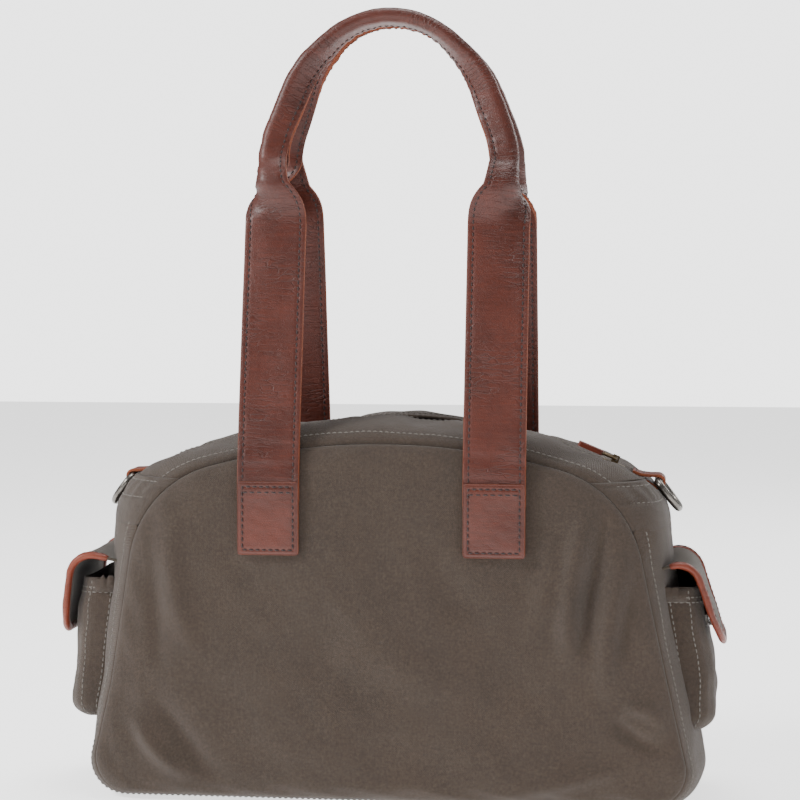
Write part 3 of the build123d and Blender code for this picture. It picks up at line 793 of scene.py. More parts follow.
@dataclass
class BagBody:
    """The two panels, the gusset, the end patches, the top bands and their stitch rows."""

    finish: Workshop
    form: DomeForm = field(default_factory=DomeForm)
    patch_rows: tuple[float, float] = (190.4, 200.2)
    patch_low: float = 174.0
    patch_high: float = 203.4
    gusset_top: float = 0.181
    seam_row: float = 53.6
    band_rows: tuple[float, float] = (12.4, 53.4)
    band_reach: float = 50.0
    panel_middle: float = 104.0
    zip_radius: float = 363.85
    zip_half_run: float = 154.0
    zip_centre: float = -127.0

    @property
    def seam(self) -> float:
        """Depth of each panel seam from the bag's middle plane, in millimetres."""
        return self.form.seam_half_depth

    def surface(self, depth: Array) -> Array:
        """The gusset's outer face in metres, with its soft puffs and pulls, as rings at each depth."""
        flat = self.form.ring(depth)
        reach = ease(110, 170, np.abs(flat[..., 0]))
        right_flare = 10.5 * np.clip(1 - flat[..., 2] / 165, 0, 1) ** 1.2
        left_flare = 5.5 * np.clip(1 - flat[..., 2] / 75, 0, 1)
        flare = np.where(flat[..., 0] > 0, right_flare, left_flare)
        flat[..., 0] += np.sign(flat[..., 0]) * flare * reach
        along = unit(np.roll(flat, -1, axis=1) - np.roll(flat, 1, axis=1))
        out = np.stack([-along[..., 2], 0 * along[..., 0], along[..., 0]], -1)
        out *= np.sign(((flat - np.array([0, 0, 110])) * out).sum(-1).mean())
        x, z = flat[..., 0], flat[..., 2]
        t = np.abs(flat[..., 1]) / self.seam
        hold = np.clip(1 - t**6, 0, 1) * ease(3, 30, z)
        shoulder = np.exp(-(((np.abs(x) - 158) / 34) ** 2 + ((z - 172) / 34) ** 2))
        swell = 4.6 * shoulder * np.exp(-(((t - 0.62) / 0.3) ** 2))
        broad = ripple(11, flat * MM, 0.085, 2)
        fine = ripple(12, flat * MM, 0.030, 2)
        pucker = np.sin(z / 7.3 + np.abs(x) / 5.9) * np.exp(-(((t - 0.93) / 0.1) ** 2))
        relief = hold * (swell + 1.5 * broad + 0.55 * fine + 0.3 * pucker)
        band = ease(196, 214, z) * (np.abs(flat[..., 1]) > 8)
        relief += band * 0.7 * ripple(14, flat * MM * np.array([1, 0.5, 1]), 0.05, 2) * hold
        return (flat + out * relief[..., None]) * MM

    def seam_line(self, face: Face) -> Array:
        """The panel seam, as the gusset's edge."""
        return self.surface(np.array([self.seam * face.value]))[0]

    def panel(self, face: Face) -> bpy.types.Object:
        """One panel: a polar grid that shrinks from the seam to its middle.

        At the fraction r of the way out, the face stands 6 (1 - r^11)^0.5 + 1.8 (1 - r^2) millimetres in
        front of the seam. The folds and soft relief are added, and fade out at the seam. They lie flatter
        under the two straps, and a row of small puckers follows the seam.
        """
        seam = self.seam_line(face) / MM
        middle = np.array([0, seam[0, 1], self.panel_middle])
        r = 1 - np.linspace(0, 1, 120) ** 1.6 * 0.9999
        points = middle + (seam - middle)[None] * r[:, None, None]
        rim = np.clip(r, 0, 1)[:, None]
        x, z = points[..., 0], points[..., 2]
        lift = 6.0 * np.sqrt(np.clip(1 - rim**11, 0, 1)) + 1.8 * (1 - rim**2)
        free = np.clip(1 - rim**7, 0, 1)
        mirror = -1 if face is Face.BACK else 1
        folds = PANEL_CREASES.height(x * mirror, z)
        held = 1 - 0.85 * (np.exp(-(((np.abs(x) - 70) / 22) ** 2)) * ease(146, 160, z))
        at = points * MM + np.array([0, 0, 0.5 * face.value])
        soft = 1.25 * ripple(21, at, 0.16, 2) + 0.62 * ripple(23, at, 0.07, 2)
        soft = soft + 0.26 * ripple(22, at, 0.03, 2)
        lift = lift + free * held * (2.9 * folds + soft)
        lift = lift + 0.5 * np.exp(-(((rim - 0.955) / 0.03) ** 2)) * np.sin(x / 6.5 + z / 5.2)
        points[..., 1] += face.value * lift
        grid = points * MM
        quads = grid_faces(*grid.shape[:2], wrap_columns=True)
        quads = quads[:, ::-1] if face is Face.FRONT else quads
        made = mesh_object(f"{face.label}_panel_cloth", grid, quads, self.finish.canvas)
        set_uv(made, grid[..., [0, 2]])
        thicken(made, 2.0 * MM)
        return settle(made, "bag", (f"{face.label}_panel",))

    def outward(self, row: Array) -> Array:
        """Outward directions along one ring, square to it."""
        along = unit(np.gradient(row, axis=0))
        out = np.stack([-along[:, 2], 0 * along[:, 0], along[:, 0]], -1)
        return out * np.sign(((row - np.array([0, 0, 0.11])) * out).sum(-1).mean())

    def end_rows(self, side: Side, depths: Array, heights: Array) -> Array:
        """Points of one end of the gusset, at these depths and heights in millimetres."""
        rows = self.surface(depths)
        half = rows.shape[1] // 2
        keep = rows[:, half:] if side is Side.RIGHT else rows[:, half::-1]
        x = np.stack([np.interp(heights * MM, row[:, 2], row[:, 0]) for row in keep])
        y = np.broadcast_to(depths[:, None] * MM, x.shape)
        return np.stack([x, y, np.broadcast_to(heights * MM, x.shape)], -1)

    def end_patch(self, side: Side) -> bpy.types.Object:
        """Canvas piece over one shoulder: its top edge is turned under and sewn down with two rows."""
        depths = self.seam * np.sin(np.linspace(-1, 1, 96) * math.pi / 2)
        heights = np.linspace(self.patch_low, self.patch_high, 50)
        grid = self.end_rows(side, depths, heights)
        across, down = np.gradient(grid, axis=0), np.gradient(grid, axis=1)
        out = unit(np.cross(across, down)) * side.value
        out *= np.sign((out[..., 0] * side.value).mean())
        turned = np.clip((self.patch_high - heights) / 1.2, 0, 1) ** 0.5
        rise = 0.25 + ease(self.patch_low, 190, heights) * turned
        rise = rise - 0.55 * sum(np.exp(-(((heights - z) / 1.2) ** 2)) for z in self.patch_rows)
        held = np.clip(1 - (depths / self.seam) ** 14, 0, 1)[:, None] ** 0.5
        pucker = 0.3 * np.sin(depths / 1.1)[:, None] * np.exp(-(((heights - 195.5) / 6.0) ** 2))[None, :]
        rise = rise[None, :] * held + 0.15 * ripple(31, grid, 0.02, 3) + pucker * held
        grid = grid + out * (rise * MM)[..., None]
        name = side.label
        made = grid_object(f"{name}_end_patch_cloth", grid, self.finish.canvas, flip=side is Side.LEFT)
        thicken(made, 1.4 * MM)
        settle(made, "bag", (f"{name}_end_patch",))
        for number, z in enumerate(self.patch_rows):
            depth = np.linspace(-54, 54, 90)
            path = self.end_rows(side, depth, np.array([z]))[:, 0]
            slope = self.end_rows(side, depth, np.array([z - 1, z + 1]))
            up = unit(slope[:, 1] - slope[:, 0])
            way = np.stack([up[:, 2], 0 * up[:, 0], -up[:, 0]], -1)
            way *= np.sign((way[:, 0] * side.value).mean())
            row = self.finish.grey_seam.sew(f"{name}_patch_stitches_{number}", path + way * 0.75 * MM, way)
            settle(row, "bag")
        return made

    def gusset(self) -> bpy.types.Object:
        """Canvas band under the foot and up both ends, to a little way under the end patches."""
        depths = self.seam * np.sin(np.linspace(-1, 1, 76) * math.pi / 2)
        rings = self.surface(depths)
        keep = rings[..., 2].mean(0) < self.gusset_top
        start = int(np.argmax(keep))
        stop = len(keep) - int(np.argmax(keep[::-1]))
        grid = rings[:, start:stop]
        made = grid_object("gusset_cloth", grid, self.finish.canvas)
        thicken(made, 2.0 * MM)
        settle(made, "bag", ("side_gusset",))
        for number, depth in enumerate((-self.seam_row, self.seam_row)):
            row = self.surface(np.array([depth]))[0]
            low = row[:, 2] < 0.176
            path, out = row[low], self.outward(row)[low]
            sewn = self.finish.grey_seam.sew(f"gusset_stitches_{number}", path + out * 0.1 * MM, out)
            settle(sewn, "bag")
        return made

    def band(self, face: Face) -> bpy.types.Object:
        """Canvas band from the panel seam to the zip, its lip turned under."""
        name = face.label
        depths = face.value * (self.seam - self.band_reach * np.sin(np.linspace(0, 1, 44) * math.pi / 2))
        rings = self.surface(depths)
        grid = self._over_top(rings)
        lip = grid[-1:]
        fold = ((-0.8, -0.5), (-1.0, -1.4), (0.6, -2.2), (5.0, -2.4))
        turned = [lip + np.array([0, face.value * dy, dz]) * MM for dy, dz in fold]
        grid = np.concatenate([grid, *turned])
        made = grid_object(f"{name}_band_cloth", grid, self.finish.canvas, flip=face is Face.FRONT)
        thicken(made, 0.9 * MM)
        settle(made, None, (f"{name}_top_band",))
        self.open_with_lip(made, face)
        for number, depth in enumerate(self.band_rows):
            row = self._over_top(self.surface(np.array([face.value * depth])))[0]
            out = self.outward(row)
            sewn = self.finish.grey_seam.sew(f"{name}_band_stitches_{number}", row + out * 0.1 * MM, out)
            self.open_with_lip(sewn, face)
        return made

    @staticmethod
    def _over_top(rings: Array) -> Array:
        """The stretch of each ring above the end patches, from the left end to the right."""
        middle = rings.shape[1] // 2
        halves = (rings[:, :middle], rings[:, middle + 1:])
        return np.concatenate([half[:, half[..., 2].mean(0) > 0.200][:, ::-1] for half in halves], 1)

    @staticmethod
    def open_with_lip(made: bpy.types.Object, face: Face) -> None:
        """Bake the piece's transform into its mesh."""
        f"{face.label}_lip"
        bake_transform(made)

    def tape(self, face: Face) -> bpy.types.Object:
        """Woven zip tape with a corded inner edge, under the band's lip."""
        name = face.label
        turn = np.linspace(-1, 1, 260) * math.asin(self.zip_half_run / self.zip_radius)
        width = np.array([1.7, 1.75, 2.1, 2.5, 3.4, 5, 7.5, 10, 12.5, 15])
        bead = np.array([-0.5, 0.15, 0.55, 0.15, 0.0, 0, 0, 0, 0, 0])
        weave = 0.16 * np.sin(turn * 260)[None] * ease(3, 8, width)[:, None]
        radius = self.zip_radius + bead[:, None] + weave
        x, z = radius * np.sin(turn), self.zip_centre + radius * np.cos(turn)
        y = face.value * np.broadcast_to(width[:, None], x.shape)
        grid = np.stack([x, y, z], -1) * MM
        made = grid_object(f"{name}_tape_weave", grid, self.finish.zip_tape, flip=face is Face.BACK)
        thicken(made, 0.6 * MM)
        settle(made, None, (f"{name}_zip_tape",))
        self.open_with_lip(made, face)
        return made

    def lining(self) -> bpy.types.Object:
        """Slack twill lining inside the panels and the gusset, in one mesh."""
        rings = self.surface(np.linspace(-54.0, 54.0, 48))[:, ::3]
        middle = np.array([0, 0, 0.105])
        out = unit((rings - middle) * np.array([1, 0, 1]))
        slack = 1.0 * ripple(41, rings, 0.06, 3)
        inner = rings - out * ((3.9 + slack) * MM)[..., None]
        inner = inner[:, inner[..., 2].mean(0) < 0.168]
        points = [inner.reshape(-1, 3)]
        faces = [grid_faces(*inner.shape[:2])]
        uv = [lengths_uv(inner).reshape(-1, 2)]
        total = points[0].shape[0]
        for face in Face:
            seam = self.seam_line(face)[::3]
            r = 1 - np.linspace(0.03, 1, 40) * 0.985
            hub = np.array([0, seam[0, 1], 0.104])
            sheet = hub + (seam - hub)[None] * r[:, None, None]
            sheet[..., 1] -= face.value * (3.2 + 0.8 * ripple(42, sheet, 0.08, 3)) * MM
            sheet[..., 2] = np.clip(sheet[..., 2], 0.004, 0.222)
            quads = grid_faces(*sheet.shape[:2])
            quads = quads if face is Face.BACK else quads[:, ::-1]
            points.append(sheet.reshape(-1, 3))
            faces.append(quads + total)
            uv.append(np.stack([sheet[..., 0], sheet[..., 2]], -1).reshape(-1, 2))
            total += points[-1].shape[0]
        points, faces = np.concatenate(points), np.concatenate(faces)
        made = mesh_object("lining_twill_bag", points, faces, self.finish.lining)
        set_uv(made, np.concatenate(uv))
        return settle(made, "bag", ("lining",))

    def build(self) -> None:
        """Make the whole body."""
        for face in Face:
            self.panel(face)
            self.band(face)
            self.tape(face)
        self.gusset()
        for side in Side:
            self.end_patch(side)
        self.lining()


# ---- Handles -----------------------------------------------------------------------


def rounded_path(corners: list[tuple[float, float]], radii: list[float], step: float) -> Array:
    """Polyline in a plane with an arc at each inner corner, in even steps.

    Args:
        corners: the polyline's points.
        radii: one radius for each inner corner.
        step: distance between the points that are returned.

    Returns:
        Points shaped (n, 2).
    """
    points = np.array(corners, float)
    parts = [points[:1]]
    for before, here, after, radius in zip(points[:-2], points[1:-1], points[2:], radii):
        come, go = unit(here - before), unit(after - here)
        turn = math.acos(float(np.clip(come @ go, -1, 1)))
        reach = radius * math.tan(turn / 2)
        sign = math.copysign(1, come[0] * go[1] - come[1] * go[0])
        normal = sign * np.array([-come[1], come[0]])
        centre = here - come * reach + normal * radius
        angle = np.linspace(0, turn, 24)[:, None]
        parts.append(centre - normal * radius * np.cos(angle) + come * radius * np.sin(angle))
    line = np.concatenate([*parts, points[-1:]])
    even, _ = resample(np.concatenate([line, 0 * line[:, :1]], 1), step)
    return even[:, :2]


@dataclass(frozen=True)
class HandleForm:
    """One handle's sizes in millimetres, measured in its own leaning plane from the stitch line up."""

    lean: float = math.radians(11.52)
    reach: float = 67.5
    stitch_line: float = 203.0
    width: float = 38.0
    ply: float = 2.0
    offset: float = 70.0
    stitch_inset: float = 3.2
    full_turn: float = 3.62
    grip_twist: float = math.radians(82)
    cord_start: float = 214.0
    cord_offset: float = 5.6
    cord_radius: float = 1.7
    groove_depth: float = 0.32
    plate_half_height: float = 22.75
    plate_corner: float = 1.6
    plate_middle: float = 180.25
    plate_face: float = 69.3
    corners: tuple[tuple[float, float], ...] = ((-70, -12), (-70, 164), (-73, 212), (-54, 262), (0, 317))
    radii: tuple[float, ...] = (120, 66, 72, 52)

    def centre_line(self) -> Array:
        """The handle's centre line in its plane, from the left end over the grip to the right end."""
        right = [(-x, v) for x, v in self.corners[-2::-1]]
        radii = [*self.radii, *self.radii[-2::-1]]
        return rounded_path([*self.corners, *right], radii, 1.9)

    def twist(self, v: Array) -> Array:
        """How far the grip has turned about its own line, by the height up the handle."""
        return (self.grip_twist * ease(224, 300, v))[:, None]

    def stand_out(self, v: Array) -> Array:
        """How far the grip's line stands out of the strap's plane, by the height up the handle."""
        return 2.2 * ease(240, 290, v)[:, None]


@dataclass
class Handle:
    """A two-ply strap that is sewn to the panel at both ends and folds round a cord to make the grip.

    Across the strap, its middle line keeps its length and turns as it goes: not at all on the flat, and by a
    little more than half a turn at the grip, so that both edges come together on the inner side.
    """

    finish: Workshop
    face: Face
    form: HandleForm = field(default_factory=HandleForm)

    def frames(self, line: Array) -> tuple[Array, Array, Array]:
        """Position, sideways direction and face direction at each point of the centre line."""
        f = self.form
        v = line[:, 1]
        rise = ease(-3, 14, v) * f.lean
        step = np.gradient(v)
        along_y = np.cumsum(np.sin(rise) * step)
        along_z = np.cumsum(np.cos(rise) * step)
        y = -f.reach + 1.5 * (1 - ease(0, 45, v)) + along_y - along_y[0]
        z = f.stitch_line + line[0, 1] + along_z - along_z[0]
        place = np.stack([line[:, 0], y, z], -1)
        along = unit(np.gradient(line, axis=0))
        up = np.stack([0 * v, np.sin(rise), np.cos(rise)], -1)
        side = -along[:, 1:2] * np.array([1.0, 0, 0]) + along[:, :1] * up
        out = np.stack([0 * v, -np.cos(rise), np.sin(rise)], -1)
        return place, side, out

    def skin(self) -> tuple[Array, Array, Array, Array, Array]:
        """The strap's surface.

        Returns:
            The points in metres, the directions away from the strap, the UV, the edge values, and the columns
            that the four stitch rows follow (two on the face and two on the back).
        """
        f = self.form
        line = f.centre_line()
        v = line[:, 1]
        place, side, out = self.frames(line)
        grip = ease(160, 217, v)
        half_w = f.width / 2
        flat_w = half_w - f.stitch_inset
        left_edge, right_edge = np.linspace(-half_w, -flat_w, 6)[:-1], np.linspace(flat_w, half_w, 6)[1:]
        s = np.concatenate([left_edge, np.linspace(-flat_w, flat_w, 40), right_edge])
        ds = np.gradient(s)
        reach = (half_w - 12.6 * ease(148, 194, v))[:, None]
        bend = np.exp(-((s[None] / reach) ** 4))
        bend = bend * ds
        bend = bend / bend.sum(1, keepdims=True) * (f.full_turn * grip)[:, None]
        start = -np.clip(f.full_turn * grip - math.pi, 0, None)[:, None] / 2
        theta = start + np.cumsum(bend, 1) - bend / 2
        a = np.cumsum(np.cos(theta) * ds, 1)
        b = np.cumsum(np.sin(theta) * ds, 1)
        a -= (a.max(1, keepdims=True) + a.min(1, keepdims=True)) / 2
        b -= (b.max(1, keepdims=True) + b.min(1, keepdims=True)) / 2
        half = (f.ply - 0.6 * grip)[:, None] * (1 - 0.16 * (np.abs(s[None]) / half_w) ** 12)
        groove = f.groove_depth * np.exp(-(((np.abs(s[None]) - half_w + f.stitch_inset) / 0.9) ** 2))
        run = run_along(line)
        flat_at = np.broadcast_arrays(s[None] * MM, run[:, None] * MM * 0.28, 0.1 * grip[:, None])
        flat_at = np.stack(flat_at, -1)
        cross = ripple(51 + self.face.value, flat_at * np.array([0.25, 3.57, 1]), 0.0125, 3)
        low_wrinkle = np.exp(-(((v - 13) / 12) ** 2))[:, None] * (v > 0)[:, None]
        fold_wrinkle = np.exp(-(((v - 186) / 26) ** 2))[:, None]
        amount = 0.10 + 0.42 * low_wrinkle + 0.16 * fold_wrinkle + 0.05 * grip[:, None]
        wave = 0.55 * ripple(57, flat_at * np.array([1, 1.6, 1]), 0.05, 2)
        flange = np.clip(np.abs(s[None]) - 9, 0, 10) / 10 * grip[:, None]
        pucker = 0.42 * flange * np.sin(run[:, None] * 1.05 + np.sin(run[:, None] * 0.31) * 1.7)
        relief = amount * cross * (1 - 0.35 * groove / f.groove_depth)
        face_off = half - groove + relief + pucker
        back_off = half - groove + 0.6 * relief - pucker * 0.6
        way_a, way_b = np.sin(theta), -np.cos(theta)
        b = b + (wave * (1 - grip[:, None]) * 0.8)
        front = (a + way_a * face_off, b + way_b * face_off)
        back = (a - way_a * back_off, b - way_b * back_off)
        levels = np.array([0.72, 0.42, 0.1, -0.1, -0.42, -0.72])
        bulge = np.array([0.22, 0.34, 0.02, 0.02, 0.34, 0.22])

        def cap(column: int, sign: float) -> tuple[Array, Array]:
            """Rounded raw edge of the two plies, with the line between them."""
            across, high = np.cos(theta[:, column]), np.sin(theta[:, column])
            h = half[:, column][:, None] * levels[None]
            far = sign * bulge[None]
            cap_a = a[:, column][:, None] + across[:, None] * far + way_a[:, column][:, None] * h
            cap_b = b[:, column][:, None] + high[:, None] * far + way_b[:, column][:, None] * h
            return cap_a, cap_b

        parts = zip(front, cap(-1, 1.0), back, cap(0, -1.0))
        ring_a, ring_b = (np.concatenate([f1, c1, f2[:, ::-1], c2[:, ::-1]], 1) for f1, c1, f2, c2 in parts)
        twist = f.twist(v)
        turned_a = ring_a * np.cos(twist) + ring_b * np.sin(twist)
        turned_b = -ring_a * np.sin(twist) + ring_b * np.cos(twist)
        place = place + f.stand_out(v) * out
        points = place[:, None] + turned_a[..., None] * side[:, None] - turned_b[..., None] * out[:, None]
        count, n, m = len(run), len(s), len(levels)
        u = np.concatenate([s, half_w + np.arange(m) * 0.6, 60 - s[::-1], 80 + np.arange(m) * 0.6])
        uv = np.stack(np.broadcast_arrays(u[None] * MM, run[:, None] * MM), -1)
        edge = np.zeros((count, 2 * n + 2 * m))
        edge[:, n:n + m] = edge[:, 2 * n + m:] = 1.0
        edge[:, [0, n - 1, n + m, 2 * n + m - 1]] = 0.25
        middle = points.mean(1, keepdims=True)
        way = unit(np.cross(np.gradient(points, axis=0), np.roll(points, -1, 1) - np.roll(points, 1, 1)))
        way *= np.sign(((points - middle) * way).sum(-1).mean())
        inset = [int(np.argmin(np.abs(s - sign * (half_w - f.stitch_inset)))) for sign in (-1, 1)]
        rows = np.array([*inset, *(2 * n + m - 1 - np.array(inset))])
        mirror = np.array([1, -float(self.face.value), 1])
        return points * MM * mirror, way * mirror, uv, edge, rows

    def core(self) -> None:
        """Cotton cord that fills the round outer part of the grip."""
        f = self.form
        line = f.centre_line()
        keep = line[:, 1] > f.cord_start
        v = line[keep, 1]
        place, side, out = (part[keep] for part in self.frames(line))
        twist = f.twist(v)
        path = place + f.stand_out(v) * out + f.cord_offset * (np.cos(twist) * side + np.sin(twist) * out)
        mirror = np.array([1, -float(self.face.value), 1]) * MM
        radius = np.full(len(path), f.cord_radius * MM)
        pipe = tube(path * mirror, out * mirror / MM, radius, radius, 12)
        quads = grid_faces(*pipe.shape[:2], wrap_columns=True)
        name = self.face.label
        made = mesh_object(f"{name}_grip_cord", pipe, quads, self.finish.cord)
        settle(made, f"{name}_handle", (f"{name}_grip_core",))

    def bend(self, made: bpy.types.Object) -> None:
        """Bake the piece's transform into its mesh."""
        f"{self.face.label}_handle"
        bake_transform(made)

    def anchor(self, side: Side) -> bpy.types.Object:
        """Leather plate over one end of the strap: a rounded rectangle whose edge shows three layers."""
        f = self.form
        half_w, half_h, radius = f.width / 2, f.plate_half_height, f.plate_corner
        angle = np.linspace(0, 2 * math.pi, 160, endpoint=False)
        c, s = np.cos(angle), np.sin(angle)
        stretch = 1 / np.maximum(np.abs(c) / half_w, np.abs(s) / half_h)
        x, z = c * stretch, s * stretch
        corner = (np.abs(x) > half_w - radius) & (np.abs(z) > half_h - radius)
        over = np.stack([np.abs(x) - half_w + radius, np.abs(z) - half_h + radius], -1)
        fixed = unit(over) * radius
        x = np.where(corner, np.sign(x) * (half_w - radius + fixed[:, 0]), x)
        z = np.where(corner, np.sign(z) * (half_h - radius + fixed[:, 1]), z)
        layers = 9
        scale = [np.linspace(0.001, 0.82, 26), np.linspace(0.835, 0.985, 12), np.full(layers, 1.0)]
        scale = np.concatenate(scale)
        flat = np.zeros(len(scale) - layers)
        inset = np.concatenate([flat, [0.25, 0, 0.05, 0.4, 0.0, 0.1, 0.45, 0.05, 0.0]])
        deep = np.concatenate([flat, [0.25, 0.7, 1.5, 1.75, 2.0, 3.4, 3.65, 3.9, 6.0]])
        grid_x, grid_z = (
            line * scale[:, None] - np.sign(line) * inset[:, None] * (np.abs(line) > half - 0.01)
            for line, half in ((x, half_w), (z, half_h))
        )
        to_edge = np.minimum(half_w - np.abs(grid_x), half_h - np.abs(grid_z))
        groove = 0.34 * np.exp(-(((to_edge - f.stitch_inset) / 0.9) ** 2))
        at = np.stack([grid_x, grid_z, 0 * grid_x + 9 * side.value], -1) * MM
        face = (to_edge > 0.2) * (0.14 * ripple(61, at, 0.03, 3) - groove)
        y = -f.plate_face + deep[:, None] + 0.5 * (1 - ease(0, 3, to_edge)) * (deep[:, None] == 0) - face
        place = [side.value * f.offset + grid_x, y * -self.face.value, f.plate_middle + grid_z]
        points = np.stack(place, -1) * MM
        name = f"{self.face.label}_{side.label}_anchor"
        quads = grid_faces(*points.shape[:2], wrap_columns=True)
        quads = quads if self.face is Face.FRONT else quads[:, ::-1]
        made = mesh_object(f"{name}_leather", points, quads, self.finish.patch_leather)
        set_uv(made, np.stack([points[..., 0], points[..., 2]], -1))
        set_edge(made, np.broadcast_to((deep > 0.3)[:, None] * 1.0, grid_x.shape))
        settle(made, "bag", (name,))
        return made

    def anchor_seam(self, side: Side) -> None:
        """Stitches round the plate, and a second row across its top."""
        f = self.form
        w, h = f.width / 2 - f.stitch_inset, f.plate_half_height - f.stitch_inset
        loop = np.array([[-w, -h], [w, -h], [w, h], [-w, h], [-w, -h]])
        name = f"{self.face.label}_{side.label}_anchor"
        for number, corners in enumerate((loop, np.array([[-w, h - 3.4], [w, h - 3.4]]))):
            line, _ = resample(np.concatenate([corners, 0 * corners[:, :1]], 1), 1.0)
            x, z = line[:, 0] + side.value * f.offset, line[:, 1] + f.plate_middle
            y = np.full_like(x, 69.25 * self.face.value)
            path = np.stack([x, y, z], -1) * MM
            way = np.broadcast_to(np.array([0.0, float(self.face.value), 0.0]), path.shape)
            row = self.finish.brown_seam.sew(f"{name}_stitches_{number}", path, way)
            settle(row, "bag")

    def build(self) -> None:
        """Make the strap, its stitches and the two plates."""
        points, way, uv, edge, rows = self.skin()
        name = self.face.label
        quads = grid_faces(*points.shape[:2], wrap_columns=True)
        quads = quads[:, ::-1] if self.face is Face.BACK else quads
        made = mesh_object(f"{name}_handle_leather", points, quads, self.finish.leather)
        set_uv(made, uv)
        set_edge(made, edge)
        settle(made, None, (f"{name}_handle_strap", f"{name}_handle_inner_ply"))
        self.bend(made)
        self.core()
        for number, column in enumerate(rows):
            path, ways = points[5:-5, column], way[5:-5, column]
            row = self.finish.brown_seam.sew(f"{name}_handle_stitches_{number}", path, ways)
            self.bend(row)
        for side in Side:
            self.anchor(side)
            self.anchor_seam(side)


# ---- End pockets, ring loops and small parts -----------------------------------------


